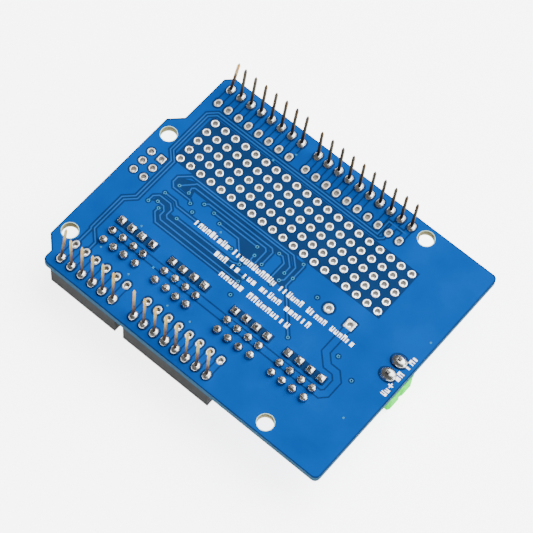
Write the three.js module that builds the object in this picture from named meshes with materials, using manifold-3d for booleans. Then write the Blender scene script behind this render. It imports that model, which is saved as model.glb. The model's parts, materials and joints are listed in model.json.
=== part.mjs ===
// Servo driver board: a plug-on board for a hobby microcontroller.
//
// Millimetres. +Z leaves the solder side, +X runs towards the power terminal end, and +Y towards
// the digital header row. The board lies on the mouths of its stackable headers, at z = 0, and
// the origin is under the board's centre.

import * as THREE from 'three';
import { mergeVertices, mergeGeometries } from 'three/addons/utils/BufferGeometryUtils.js';
import Module from 'manifold-3d';

const wasm = await Module();
wasm.setup();

// ---------------------------------------------------------------- driving dimensions

const PITCH = 2.54;
const MIL = PITCH / 100;
const BOARD_LENGTH = 68.58;
const BOARD_WIDTH = 53.34;
const BOARD_THICKNESS = 1.6;
const SOCKET_HEIGHT = 8.5;
const SOCKET_WIDTH = 2.5;
const SERVO_PIN_SIZE = 0.64;
const STACK_PIN_WIDTH = 0.46;
const STACK_PIN_DEPTH = 0.32;
const PIN_REACH = 10.4;
const SEAT_GAP = 0.02;
const MOUNTING_HOLE_RADIUS = 1.6;
const MOUNTING_HOLE_SIDES = 24;
const PLATED_HOLE_RADIUS = 0.55;
const PLATED_HOLE_SIDES = 6;

const COMPONENT_FACE = SOCKET_HEIGHT;
const SOLDER_FACE = COMPONENT_FACE + BOARD_THICKNESS;
const SEAT = COMPONENT_FACE - SEAT_GAP;

// The footprint is laid out in thousandths of an inch from the board's terminal-end corner.
const boardX = (mils) => BOARD_LENGTH / 2 - mils * MIL;
const boardY = (mils) => mils * MIL - BOARD_WIDTH / 2;

const DIGITAL_ROW = 2000;
const POWER_ROW = 100;
const DIGITAL_SPARE_ROW = 1850;
const POWER_SPARE_ROW = 250;

// Each header: its socket's name, its pins' name, the pins' first number, its first pin's place,
// how far the pins stand above the board, and how far their tips lean.
const HEADERS = [
  { socket: 'digital_socket_8way', pin: 'digital_pin', first: 1, count: 8, x: 2500,
    row: DIGITAL_ROW, spareRow: DIGITAL_SPARE_ROW, reach: PIN_REACH, lean: [0.38, 0.42] },
  { socket: 'digital_socket_10way', pin: 'digital_pin', first: 9, count: 10, x: 1640,
    row: DIGITAL_ROW, spareRow: DIGITAL_SPARE_ROW, reach: PIN_REACH - 0.9, lean: [0.2, 0.1] },
  { socket: 'analogue_socket_6way', pin: 'analogue_pin', first: 1, count: 6, x: 2500,
    row: POWER_ROW, spareRow: POWER_SPARE_ROW, reach: PIN_REACH, lean: [0, 0.5],
    firstMargin: 0.6 },
  { socket: 'power_socket_8way', pin: 'power_pin', first: 1, count: 8, x: 1800,
    row: POWER_ROW, spareRow: POWER_SPARE_ROW, reach: PIN_REACH, lean: [0, 0.35] },
];

// Pins that lean otherwise than their row.
const BENT_PINS = { digital_pin_1: [1.15, 0.57], analogue_pin_1: [0.48, 1.28], analogue_pin_2: [0.03, 0.2] };

const SERVO_COLUMNS = 4;
const SERVO_ROWS = 3;
const SERVO_FIRST_X = [2370, 1870, 1270, 770];
const SERVO_FIRST_Y = 415;
const SERVO_PLASTIC = 2.54;
const SERVO_PIN_TIP = 0.16;
const SERVO_STUB = 1.3;

const GRID_COLUMNS = 20;
const GRID_ROWS = 5;
const GRID_FIRST_X = 500;
const GRID_FIRST_Y = 1300;

const PROGRAMMING_HOLES_X = [2500, 2600];
const PROGRAMMING_HOLES_Y = [1000, 1100, 1200];
const CAPACITOR_HOLES = [[781, 1083], [581, 1083]];
const MOUNTING_HOLES = [[550, 100], [600, 2000], [2605, 309], [2600, 1400]];

const TERMINAL_PITCH = 3.5;
const TERMINAL_TAIL_X = 130;
const TERMINAL_CENTRE_Y = 1027.5;
const TERMINAL_HEIGHT = 8.4;
const CLAMP_TRAVEL = 1.7;

// ---------------------------------------------------------------- materials

const material = (color, roughness, metalness = 0) =>
  new THREE.MeshStandardMaterial({ color, roughness, metalness });

const MASK_BLUE = material(0x1478cd, 0.45);
const SOCKET_BLACK = material(0x3a3a3d, 0.6);
const DARK_PIN = material(0x6b5d4c, 0.4, 0.9);
const GOLD_PIN = material(0xc9a873, 0.35, 0.9);
const SERVO_PLASTIC_BLACK = material(0x242426, 0.6);
const TERMINAL_GREEN = material(0x6cc24a, 0.5);
const PLATED_STEEL = material(0xb8bac0, 0.35, 0.9);
const TINNED_BRASS = material(0xc4c2b8, 0.35, 0.9);
const CHIP_BLACK = material(0x1f2022, 0.55);
const LIGHT_LENS = material(0xe8efe4, 0.3);
const CAPACITOR_TAN = material(0xb39a72, 0.5);
const BUTTON_BLACK = material(0x18181a, 0.5);

// ---------------------------------------------------------------- solids

function toSolid(geometry) {
  const bare = geometry.clone();
  bare.deleteAttribute('normal');
  bare.deleteAttribute('uv');
  const merged = mergeVertices(bare, 1e-5);
  return new wasm.Manifold(new wasm.Mesh({
    numProp: 3,
    vertProperties: new Float32Array(merged.attributes.position.array),
    triVerts: new Uint32Array(merged.index.array),
  }));
}

function toGeometry(solid) {
  const mesh = solid.getMesh();
  const geometry = new THREE.BufferGeometry();
  geometry.setAttribute('position', new THREE.BufferAttribute(mesh.vertProperties, 3));
  geometry.setIndex(new THREE.BufferAttribute(mesh.triVerts, 1));
  return geometry;
}

function join(...geometries) {
  return toGeometry(geometries.map(toSolid).reduce((whole, piece) => whole.add(piece)));
}

function cut(geometry, ...cutters) {
  return toGeometry(cutters.map(toSolid).reduce((whole, piece) => whole.subtract(piece), toSolid(geometry)));
}

// A box between two corners.
function block(low, high) {
  const size = high.map((value, axis) => value - low[axis]);
  const centre = high.map((value, axis) => (value + low[axis]) / 2);
  return new THREE.BoxGeometry(...size).translate(...centre);
}

// A solid of revolution about Z from [radius, z] points.
function turned(points, sides, x = 0, y = 0) {
  const profile = points.map(([radius, z]) => new THREE.Vector2(radius, z));
  return new THREE.LatheGeometry(profile, sides).rotateX(Math.PI / 2).translate(x, y, 0);
}

// A square bar along Z with its faces square to X and Y, from [half width, z] points.
function squareBar(points, x = 0, y = 0) {
  const profile = points.map(([half, z]) => new THREE.Vector2(half * Math.SQRT2, z));
  return new THREE.LatheGeometry(profile, 4, Math.PI / 4).rotateX(Math.PI / 2).translate(x, y, 0);
}

// A flat outline in X and Y, extruded from z = low to z = high.
function plate(points, low, high) {
  const shape = new THREE.Shape(points.map(([x, y]) => new THREE.Vector2(x, y)));
  const geometry = new THREE.ExtrudeGeometry(shape, { depth: high - low, bevelEnabled: false });
  return geometry.translate(0, 0, low);
}

// A flat outline in Y and Z, extruded along X about x = 0.
function sideStrip(points, width) {
  return plate(points, -width / 2, width / 2).rotateX(Math.PI / 2).rotateZ(Math.PI / 2);
}

const board = new THREE.Group();

function add(name, geometry, look, parent = board) {
  const mesh = new THREE.Mesh(geometry, look);
  mesh.name = name;
  parent.add(mesh);
  return mesh;
}

// ---------------------------------------------------------------- circuit board

function boardHole(x, y, radius, sides) {
  const hole = new THREE.Path();
  for (let corner = 0; corner < sides; corner += 1) {
    const angle = (corner / sides) * 2 * Math.PI;
    const point = [boardX(x) + radius * Math.cos(angle), boardY(y) + radius * Math.sin(angle)];
    if (corner === 0) {
      hole.moveTo(...point);
    } else {
      hole.lineTo(...point);
    }
  }
  hole.closePath();
  return hole;
}

function platedHoles() {
  const places = [...CAPACITOR_HOLES];
  for (const header of HEADERS) {
    for (let pin = 0; pin < header.count; pin += 1) {
      places.push([header.x - 100 * pin, header.row]);
      places.push([header.x - 100 * pin, header.spareRow]);
    }
  }
  for (let column = 0; column < GRID_COLUMNS; column += 1) {
    for (let row = 0; row < GRID_ROWS; row += 1) {
      places.push([GRID_FIRST_X + 100 * column, GRID_FIRST_Y + 100 * row]);
    }
  }
  for (const x of PROGRAMMING_HOLES_X) {
    for (const y of PROGRAMMING_HOLES_Y) {
      places.push([x, y]);
    }
  }
  for (const firstX of SERVO_FIRST_X) {
    for (let column = 0; column < SERVO_COLUMNS; column += 1) {
      for (let row = 0; row < SERVO_ROWS; row += 1) {
        places.push([firstX - 100 * column, SERVO_FIRST_Y + 100 * row]);
      }
    }
  }
  return places;
}

function circuitBoard() {
  const cornerRadius = 1.1;
  const left = -BOARD_LENGTH / 2;
  const right = BOARD_LENGTH / 2;
  const front = -BOARD_WIDTH / 2;
  const back = BOARD_WIDTH / 2;
  const outline = new THREE.Shape();
  outline.moveTo(boardX(2600) + cornerRadius, front);
  outline.lineTo(right - cornerRadius, front);
  outline.absarc(right - cornerRadius, front + cornerRadius, cornerRadius, -Math.PI / 2, 0);
  outline.lineTo(right, back - cornerRadius);
  outline.absarc(right - cornerRadius, back - cornerRadius, cornerRadius, 0, Math.PI / 2);
  outline.lineTo(boardX(2540), back);
  outline.lineTo(boardX(2600), boardY(2040));
  outline.lineTo(boardX(2600), boardY(1590));
  outline.lineTo(left, boardY(1490));
  outline.lineTo(left, boardY(200));
  outline.lineTo(boardX(2600), boardY(100));
  outline.lineTo(boardX(2600), front + cornerRadius);
  outline.absarc(boardX(2600) + cornerRadius, front + cornerRadius, cornerRadius, Math.PI, 1.5 * Math.PI);
  for (const [x, y] of MOUNTING_HOLES) {
    outline.holes.push(boardHole(x, y, MOUNTING_HOLE_RADIUS, MOUNTING_HOLE_SIDES));
  }
  for (const [x, y] of platedHoles()) {
    outline.holes.push(boardHole(x, y, PLATED_HOLE_RADIUS, PLATED_HOLE_SIDES));
  }
  for (const pole of [-1, 1]) {
    const y = TERMINAL_CENTRE_Y + (pole * TERMINAL_PITCH) / 2 / MIL;
    outline.holes.push(boardHole(TERMINAL_TAIL_X, y, 0.75, PLATED_HOLE_SIDES));
  }
  const options = { depth: BOARD_THICKNESS, bevelEnabled: false, curveSegments: 3 };
  const geometry = new THREE.ExtrudeGeometry(outline, options);
  return geometry.translate(0, 0, COMPONENT_FACE);
}

add('circuit_board', circuitBoard(), MASK_BLUE);

// ---------------------------------------------------------------- stackable headers

const CAVITY = { halfX: 0.45, halfY: 0.9, low: 0.9, high: 7.3 };
const TAIL_SLOT_HALF = 0.42;
const END_MARGIN = 0.25;

// The space inside a socket: a funnel mouth, the cavity for the spring contact, and a tail slot.
function socketSpace(x) {
  const funnel = squareBar([[0, -0.2], [0.8, -0.2], [0.45, 0.3], [0.45, 1], [0, 1]], x, 0);
  const { halfX, halfY, low, high } = CAVITY;
  const cavity = block([x - halfX, -halfY, low], [x + halfX, halfY, high]);
  const slot = block(
    [x - TAIL_SLOT_HALF, -TAIL_SLOT_HALF, high - 0.1],
    [x + TAIL_SLOT_HALF, TAIL_SLOT_HALF, SOCKET_HEIGHT],
  );
  return [funnel, cavity, slot];
}

function socketHousing(count, firstMargin = END_MARGIN) {
  const low = [-firstMargin - PITCH / 2, -SOCKET_WIDTH / 2, 0];
  const high = [PITCH * (count - 0.5) + END_MARGIN, SOCKET_WIDTH / 2, SEAT];
  const spaces = [];
  for (let way = 0; way < count; way += 1) {
    spaces.push(...socketSpace(PITCH * way));
  }
  return cut(block(low, high), ...spaces);
}

// A spring contact with two leaves, drawn in Y and Z.
const CONTACT_HALF = [[0.74, 7.1], [0.74, 4.5], [0.42, 2.2], [0.62, 1.2], [0.42, 1.2], [0.2, 2.2], [0.52, 4.5], [0.52, 6.6]];

function headerPin(reach, lean) {
  const mirrored = CONTACT_HALF.map(([y, z]) => [-y, z]).reverse();
  const contact = sideStrip([...CONTACT_HALF, ...mirrored], 0.6);
  const half = STACK_PIN_WIDTH / 2;
  const foot = SOLDER_FACE + 0.4;
  const tip = SOLDER_FACE + reach;
  const profile = [[0, 6.9], [half, 6.9], [half, foot], [half, tip - 0.6], [half * 0.45, tip], [0, tip]];
  const tail = squareBar(profile).scale(1, STACK_PIN_DEPTH / STACK_PIN_WIDTH, 1);
  const places = tail.attributes.position;
  for (let point = 0; point < places.count; point += 1) {
    const share = Math.max(0, (places.getZ(point) - foot) / (tip - foot));
    places.setX(point, places.getX(point) + lean[0] * share);
    places.setY(point, places.getY(point) + lean[1] * share);
  }
  return join(contact, tail);
}

for (const header of HEADERS) {
  const row = new THREE.Group();
  row.position.set(boardX(header.x), boardY(header.row), 0);
  board.add(row);
  add(header.socket, socketHousing(header.count, header.firstMargin), SOCKET_BLACK, row);
  for (let way = 0; way < header.count; way += 1) {
    const name = `${header.pin}_${header.first + way}`;
    const lean = BENT_PINS[name] ?? header.lean;
    const look = header.row === DIGITAL_ROW ? DARK_PIN : GOLD_PIN;
    add(name, headerPin(header.reach, lean), look, row).position.x = PITCH * way;
  }
}

// ---------------------------------------------------------------- servo headers

// The outline of a moulded header strip, with its corners cut off at every pin.
function headerOutline(columns, rows) {
  const chamfer = 0.45;
  const points = [];
  const sides = [
    { from: [0, 0], along: [1, 0], cells: columns },
    { from: [columns, 0], along: [0, 1], cells: rows },
    { from: [columns, rows], along: [-1, 0], cells: columns },
    { from: [0, rows], along: [0, -1], cells: rows },
  ];
  for (const { from, along, cells } of sides) {
    const inward = [-along[1], along[0]];
    const place = (distance, depth) => points.push([
      (from[0] - 0.5) * PITCH + along[0] * distance + inward[0] * depth,
      (from[1] - 0.5) * PITCH + along[1] * distance + inward[1] * depth,
    ]);
    for (let cell = 0; cell < cells; cell += 1) {
      place(cell * PITCH + chamfer, 0);
      place((cell + 1) * PITCH - chamfer, 0);
      if (cell < cells - 1) {
        place((cell + 1) * PITCH, chamfer);
      }
    }
  }
  return points;
}

function servoHeader() {
  const half = SERVO_PIN_SIZE / 2;
  const stub = SOLDER_FACE + SERVO_STUB;
  const pieces = [plate(headerOutline(SERVO_COLUMNS, SERVO_ROWS), SEAT - SERVO_PLASTIC, SEAT)];
  for (let column = 0; column < SERVO_COLUMNS; column += 1) {
    for (let row = 0; row < SERVO_ROWS; row += 1) {
      const profile = [
        [0, SERVO_PIN_TIP], [0.15, SERVO_PIN_TIP], [half, SERVO_PIN_TIP + 0.5], [half, stub], [0, stub],
      ];
      pieces.push(squareBar(profile, PITCH * column, PITCH * row));
    }
  }
  return join(...pieces);
}

SERVO_FIRST_X.forEach((firstX, index) => {
  const header = add(`servo_header_${index + 1}`, servoHeader(), SERVO_PLASTIC_BLACK);
  header.position.set(boardX(firstX), boardY(SERVO_FIRST_Y), 0);
});

// ---------------------------------------------------------------- power terminal block

// The terminal block is drawn about its tails' line: x = 0 at the solder tails.
const TERMINAL = new THREE.Group();
TERMINAL.position.set(boardX(TERMINAL_TAIL_X), boardY(TERMINAL_CENTRE_Y), 0);
board.add(TERMINAL);

const TERMINAL_LOW_Z = COMPONENT_FACE - TERMINAL_HEIGHT;
const SCREW_X = -0.4;
const POLE_Y = [-TERMINAL_PITCH / 2, TERMINAL_PITCH / 2];

function terminalHousing() {
  const outerFace = 2.8;
  const innerFace = -4.2;
  const halfWidth = TERMINAL_PITCH;
  const profile = [
    [innerFace, SEAT], [innerFace, 1.6], [innerFace + 1, TERMINAL_LOW_Z],
    [outerFace - 0.4, TERMINAL_LOW_Z], [outerFace, TERMINAL_LOW_Z + 0.5], [outerFace, SEAT],
  ];
  const body = plate(profile, -halfWidth, halfWidth).rotateX(Math.PI / 2);
  const spaces = [];
  for (const y of POLE_Y) {
    const screwBore = [[0, -1], [1.4, -1], [1.4, 1.8], [1.05, 1.8], [1.05, 2.2], [0, 2.2]];
    spaces.push(turned(screwBore, 20, SCREW_X, y));
    spaces.push(block([-2.6, y - 1.35, 2.05], [1.5, y + 1.35, COMPONENT_FACE]));
    spaces.push(block([1.4, y - 1.2, 5.3], [4, y + 1.2, 7.3]));
  }
  return cut(body, ...spaces);
}

function terminalScrew() {
  const profile = [[0, 0.5], [1.1, 0.5], [1.3, 0.65], [1.3, 1.7], [0.95, 1.75], [0.95, 4.6], [0.75, 4.8], [0, 4.8]];
  const slot = block([-2, -0.25, 0], [2, 0.25, 1.1]);
  return cut(turned(profile, 20), slot);
}

// A clamp cage: a frame with a threaded plate near the screw head and a floor that rises to it.
function clampCage() {
  const halfX = 1.25;
  const halfY = 1.25;
  const windowHalfY = 1.02;
  const frame = block([-halfX, -halfY, 3.9], [halfX, halfY, 7.5]);
  const window = block([-2, -windowHalfY, 4.7], [2, windowHalfY, 7.1]);
  const thread = turned([[0, 3], [1, 3], [1, 5], [0, 5]], 20);
  return cut(frame, window, thread);
}

// A contact: a plate inside the cage, a back leg, a foot under the cage, and the solder tail.
function terminalTail() {
  const halfY = 0.8;
  const upper = block([-2.2, -halfY, 4.9], [1.2, halfY, 5.3]);
  const leg = block([-2.5, -halfY, 4.9], [-2.1, halfY, 8.2]);
  const foot = block([-2.5, -halfY, 7.8], [0.45, halfY, 8.2]);
  const stub = SOLDER_FACE + SERVO_STUB;
  const tail = squareBar([[0, 7.9], [0.4, 7.9], [0.4, stub - 0.3], [0.2, stub], [0, stub]]);
  return join(upper, leg, foot, tail);
}

add('terminal_housing', terminalHousing(), TERMINAL_GREEN, TERMINAL);
POLE_Y.forEach((y, index) => {
  const number = index + 1;
  add(`terminal_screw_${number}`, terminalScrew(), PLATED_STEEL, TERMINAL).position.set(SCREW_X, y, 0);
  add(`clamp_cage_${number}`, clampCage(), PLATED_STEEL, TERMINAL).position.set(SCREW_X, y, 0);
  add(`terminal_tail_${number}`, terminalTail(), TINNED_BRASS, TERMINAL).position.y = y;
});

// ---------------------------------------------------------------- reset switch

const RESET_SWITCH = new THREE.Group();
RESET_SWITCH.position.set(boardX(300), boardY(1740), 0);
board.add(RESET_SWITCH);

function resetBase() {
  const wellRadius = 2.3;
  const body = block([-3, -3, 5.55], [3, 3, SEAT]);
  const well = turned([[0, 5], [wellRadius, 5], [wellRadius, 7.9], [0, 7.9]], 24);
  const leads = [];
  for (const [side, y] of [[-1, -2.2], [-1, 2.2], [1, -2.2], [1, 2.2]]) {
    const reach = [2.9 * side, 4.4 * side].sort((a, b) => a - b);
    leads.push(block([reach[0], y - 0.35, SEAT - 0.25], [reach[1], y + 0.35, SEAT]));
  }
  return join(cut(body, well), ...leads);
}

// The snap dome: a thin domed disc with its crown towards the button.
function resetDome() {
  const outer = [[0, 7.36], [0.8, 7.42], [1.5, 7.6], [2.1, 7.85]];
  const inner = outer.map(([radius, z]) => [radius, z + 0.04]).reverse();
  return turned([...outer, ...inner], 20);
}

function resetCover() {
  const plateLow = 5.27;
  const top = cut(block([-3, -3.25, plateLow], [3, 3.25, 5.52]), turned([[0, 5], [1.85, 5], [1.85, 6], [0, 6]], 24));
  const clips = [-1, 1].map((side) => {
    const across = [3.05 * side, 3.25 * side].sort((a, b) => a - b);
    return block([-1.2, across[0], plateLow], [1.2, across[1], 7.6]);
  });
  return join(top, ...clips);
}

function resetButton() {
  const profile = [
    [0, 4.2], [1.5, 4.2], [1.7, 4.4], [1.7, 5.57], [2.1, 5.57], [2.1, 6.3], [0.8, 6.5], [0.8, 7.02], [0, 7.02],
  ];
  return turned(profile, 24);
}

add('reset_switch_base', resetBase(), CHIP_BLACK, RESET_SWITCH);
add('reset_switch_dome', resetDome(), PLATED_STEEL, RESET_SWITCH);
add('reset_switch_cover', resetCover(), PLATED_STEEL, RESET_SWITCH);
add('reset_button', resetButton(), BUTTON_BLACK, RESET_SWITCH);

// ---------------------------------------------------------------- surface-mounted parts

// A package with a row of gull-wing leads along each long side.
function leadedPackage({ length, width, bodyLow, bodyHigh, leads, pitch, leadWidth, span }) {
  const middle = (bodyLow + bodyHigh) / 2;
  const inside = width / 2 - 0.2;
  const thick = 0.16;
  const outline = [
    [inside, middle - thick / 2], [span / 2 - 0.55, middle - thick / 2], [span / 2, SEAT - thick],
    [span / 2, SEAT], [span / 2 - 0.65, SEAT], [span / 2 - 0.75, middle + thick / 2],
    [inside, middle + thick / 2],
  ];
  const mirrored = outline.map(([y, z]) => [-y, z]).reverse();
  const pieces = [block([-length / 2, -width / 2, bodyLow], [length / 2, width / 2, bodyHigh])];
  for (let lead = 0; lead < leads; lead += 1) {
    const x = (lead - (leads - 1) / 2) * pitch;
    pieces.push(sideStrip(outline, leadWidth).translate(x, 0, 0));
    pieces.push(sideStrip(mirrored, leadWidth).translate(x, 0, 0));
  }
  return join(...pieces);
}

const CHIP = { length: 9.7, width: 4.4, bodyLow: 7.35, bodyHigh: 8.38, leads: 14, pitch: 0.65, leadWidth: 0.24, span: 6.4 };
const TRANSISTOR = { length: 4.9, width: 3.9, bodyLow: 6.95, bodyHigh: 8.36, leads: 4, pitch: 1.27, leadWidth: 0.42, span: 6 };

// An array of four resistors: a slab with a notched terminal on each side of each resistor.
function resistorArray() {
  const pieces = [block([-1.6, -0.7, 7.95], [1.6, 0.7, SEAT])];
  for (let resistor = 0; resistor < 4; resistor += 1) {
    const x = (resistor - 1.5) * 0.8;
    pieces.push(block([x - 0.24, -0.82, 7.92], [x + 0.24, 0.82, SEAT - 0.01]));
  }
  return join(...pieces);
}

// A two-ended chip: a body with a slightly larger cap on each end.
function twoEndedChip(length, width, height, capLength) {
  const low = SEAT - height;
  const pieces = [block([-length / 2 + 0.1, -width / 2 + 0.03, low + 0.03], [length / 2 - 0.1, width / 2 - 0.03, SEAT])];
  for (const side of [-1, 1]) {
    const ends = [(length / 2 - capLength) * side, (length / 2) * side].sort((a, b) => a - b);
    pieces.push(block([ends[0], -width / 2, low], [ends[1], width / 2, SEAT]));
  }
  return join(...pieces);
}

function addChip(name, geometry, look, x, y, turn = 0) {
  const mesh = add(name, geometry, look);
  mesh.position.set(boardX(x), boardY(y), 0);
  mesh.rotation.z = turn;
}

addChip('driver_chip', leadedPackage(CHIP), CHIP_BLACK, 1950, 1000);
addChip('supply_transistor', leadedPackage(TRANSISTOR), CHIP_BLACK, 245, 620);
SERVO_FIRST_X.forEach((firstX, index) => {
  addChip(`resistor_array_${index + 1}`, resistorArray(), CHIP_BLACK, firstX - 150, 745);
});
addChip('power_light', twoEndedChip(2, 1.25, 0.8, 0.4), LIGHT_LENS, 130, 1330, Math.PI / 2);
addChip('bypass_capacitor', twoEndedChip(3.2, 1.6, 1.5, 0.5), CAPACITOR_TAN, 1560, 1000, Math.PI / 2);

export default board;
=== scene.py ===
"""Looks for the servo driver board.

The board lies solder side up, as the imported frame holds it. Lengths in this script are in
millimetres, in the frame's axes, and become metres where a mesh or a light is made.
"""

import json
import math
import random

import bmesh
import bpy
from mathutils import Matrix, Vector
from mathutils.geometry import delaunay_2d_cdt


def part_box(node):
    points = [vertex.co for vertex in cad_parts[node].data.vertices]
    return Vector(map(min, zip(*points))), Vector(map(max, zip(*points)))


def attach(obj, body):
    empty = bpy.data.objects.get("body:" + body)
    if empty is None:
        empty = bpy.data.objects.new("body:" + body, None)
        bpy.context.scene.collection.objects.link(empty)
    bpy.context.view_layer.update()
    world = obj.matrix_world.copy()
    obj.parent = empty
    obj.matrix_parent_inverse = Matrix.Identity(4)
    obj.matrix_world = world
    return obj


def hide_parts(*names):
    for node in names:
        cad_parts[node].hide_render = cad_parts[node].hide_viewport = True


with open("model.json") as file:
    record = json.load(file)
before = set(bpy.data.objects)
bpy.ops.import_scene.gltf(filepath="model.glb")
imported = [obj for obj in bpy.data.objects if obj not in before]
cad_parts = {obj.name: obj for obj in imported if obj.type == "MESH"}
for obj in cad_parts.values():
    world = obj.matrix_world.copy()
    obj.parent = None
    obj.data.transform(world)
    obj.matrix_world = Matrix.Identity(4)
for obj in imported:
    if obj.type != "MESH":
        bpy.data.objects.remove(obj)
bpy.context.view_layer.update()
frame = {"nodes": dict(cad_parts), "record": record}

MM = 0.001
MIL = 0.0254
TAU = 2 * math.pi

# The pitch of the pins and of the grid, in mils.
PITCH = 100


def box_mm(node):
    """The lowest and highest corner of a CAD node, in millimetres."""
    low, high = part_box(node)
    return low / MM, high / MM


BOARD_LOW, BOARD_HIGH = box_mm("circuit_board")
SOLDER_FACE = BOARD_HIGH.z
COMPONENT_FACE = BOARD_LOW.z

# Each face with the way that it looks along Z, and where the surface-mounted parts sit.
BOTH_FACES = ((SOLDER_FACE, 1), (COMPONENT_FACE, -1))
SEAT = COMPONENT_FACE - 0.02

# How deep the mask slabs reach into the board, how far the mask sinks where no copper lifts it,
# and how far the copper stays from the board's edge.
CORE_SKIN = 0.08
BARE_SINK = 0.035
POUR_INSET = 0.22


def at(x_mils, y_mils):
    """A place on the board, from mils off its corner at the terminal end of the power row."""
    return (BOARD_HIGH.x - x_mils * MIL, BOARD_LOW.y + y_mils * MIL)


def spot(x_mm, y_mm):
    """The same from millimetres."""
    return (BOARD_HIGH.x - x_mm, BOARD_LOW.y + y_mm)


def to_frame(points):
    return [spot(x, y) for x, y in points]


# ---------------------------------------------------------------- camera, light and floor

# The view of the photograph, with the target and the distance in millimetres.
CAMERA_TARGET = (0.357, -0.226, SOLDER_FACE)
CAMERA_AZIMUTH = math.radians(34.32)
CAMERA_ELEVATION = math.radians(63.81)
CAMERA_ROLL = math.radians(6.52)
CAMERA_DISTANCE = 416.3
CAMERA_LENS = 151.43
SENSOR_WIDTH = 36
WORLD_STRENGTH = 0.25

# Each soft light: its name, its place and its width in metres, and its watts.
SOFT_LIGHTS = [("side", (1.1, 0.24, 0.32), 0.7, 12), ("key", (0.375, 0.9, 1.2), 2.0, 100)]
FLOOR_GLOW = 4.5

# Half the floor's width, in metres.
FLOOR_REACH = 1.5


def add_object(name, data):
    thing = bpy.data.objects.new(name, data)
    bpy.context.scene.collection.objects.link(thing)
    return thing


def add_camera():
    data = bpy.data.cameras.new("camera")
    data.lens = CAMERA_LENS
    data.sensor_width = SENSOR_WIDTH
    data.clip_start = 0.01
    data.dof.use_dof = False
    camera = add_object("camera", data)
    sin_a, cos_a = math.sin(CAMERA_AZIMUTH), math.cos(CAMERA_AZIMUTH)
    sin_e, cos_e = math.sin(CAMERA_ELEVATION), math.cos(CAMERA_ELEVATION)
    back = Vector((sin_a * cos_e, -cos_a * cos_e, sin_e))
    level_right = Vector((cos_a, sin_a, 0))
    level_up = back.cross(level_right)
    right = level_right * math.cos(CAMERA_ROLL) + level_up * math.sin(CAMERA_ROLL)
    up = back.cross(right)
    place = (Vector(CAMERA_TARGET) + back * CAMERA_DISTANCE) * MM
    matrix = Matrix((right, up, back)).transposed().to_4x4()
    matrix.translation = place
    camera.matrix_world = matrix
    bpy.context.scene.camera = camera


def add_soft_light(name, place, size, watts):
    """A round area light that points at the frame's origin."""
    data = bpy.data.lights.new(name, "AREA")
    data.shape = "DISK"
    data.size = size
    data.energy = watts
    light = add_object(name, data)
    light.location = place
    light.rotation_euler = (-Vector(place)).to_track_quat("-Z", "Y").to_euler()


def add_world():
    world = bpy.data.worlds.new("studio")
    world.use_nodes = True
    background = world.node_tree.nodes["Background"]
    background.inputs["Color"].default_value = (1, 1, 1, 1)
    background.inputs["Strength"].default_value = WORLD_STRENGTH
    bpy.context.scene.world = world


def add_floor():
    mesh = bpy.data.meshes.new("floor")
    reach = FLOOR_REACH
    corners = [(-reach, -reach, 0), (reach, -reach, 0), (reach, reach, 0), (-reach, reach, 0)]
    mesh.from_pydata(corners, [], [(0, 1, 2, 3)])
    mesh.materials.append(floor_material())
    floor = add_object("floor", mesh)


# ---------------------------------------------------------------- materials

# The values between which most of a noise pattern lies.
NOISE_LOW, NOISE_HIGH = 0.3, 0.7


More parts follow.
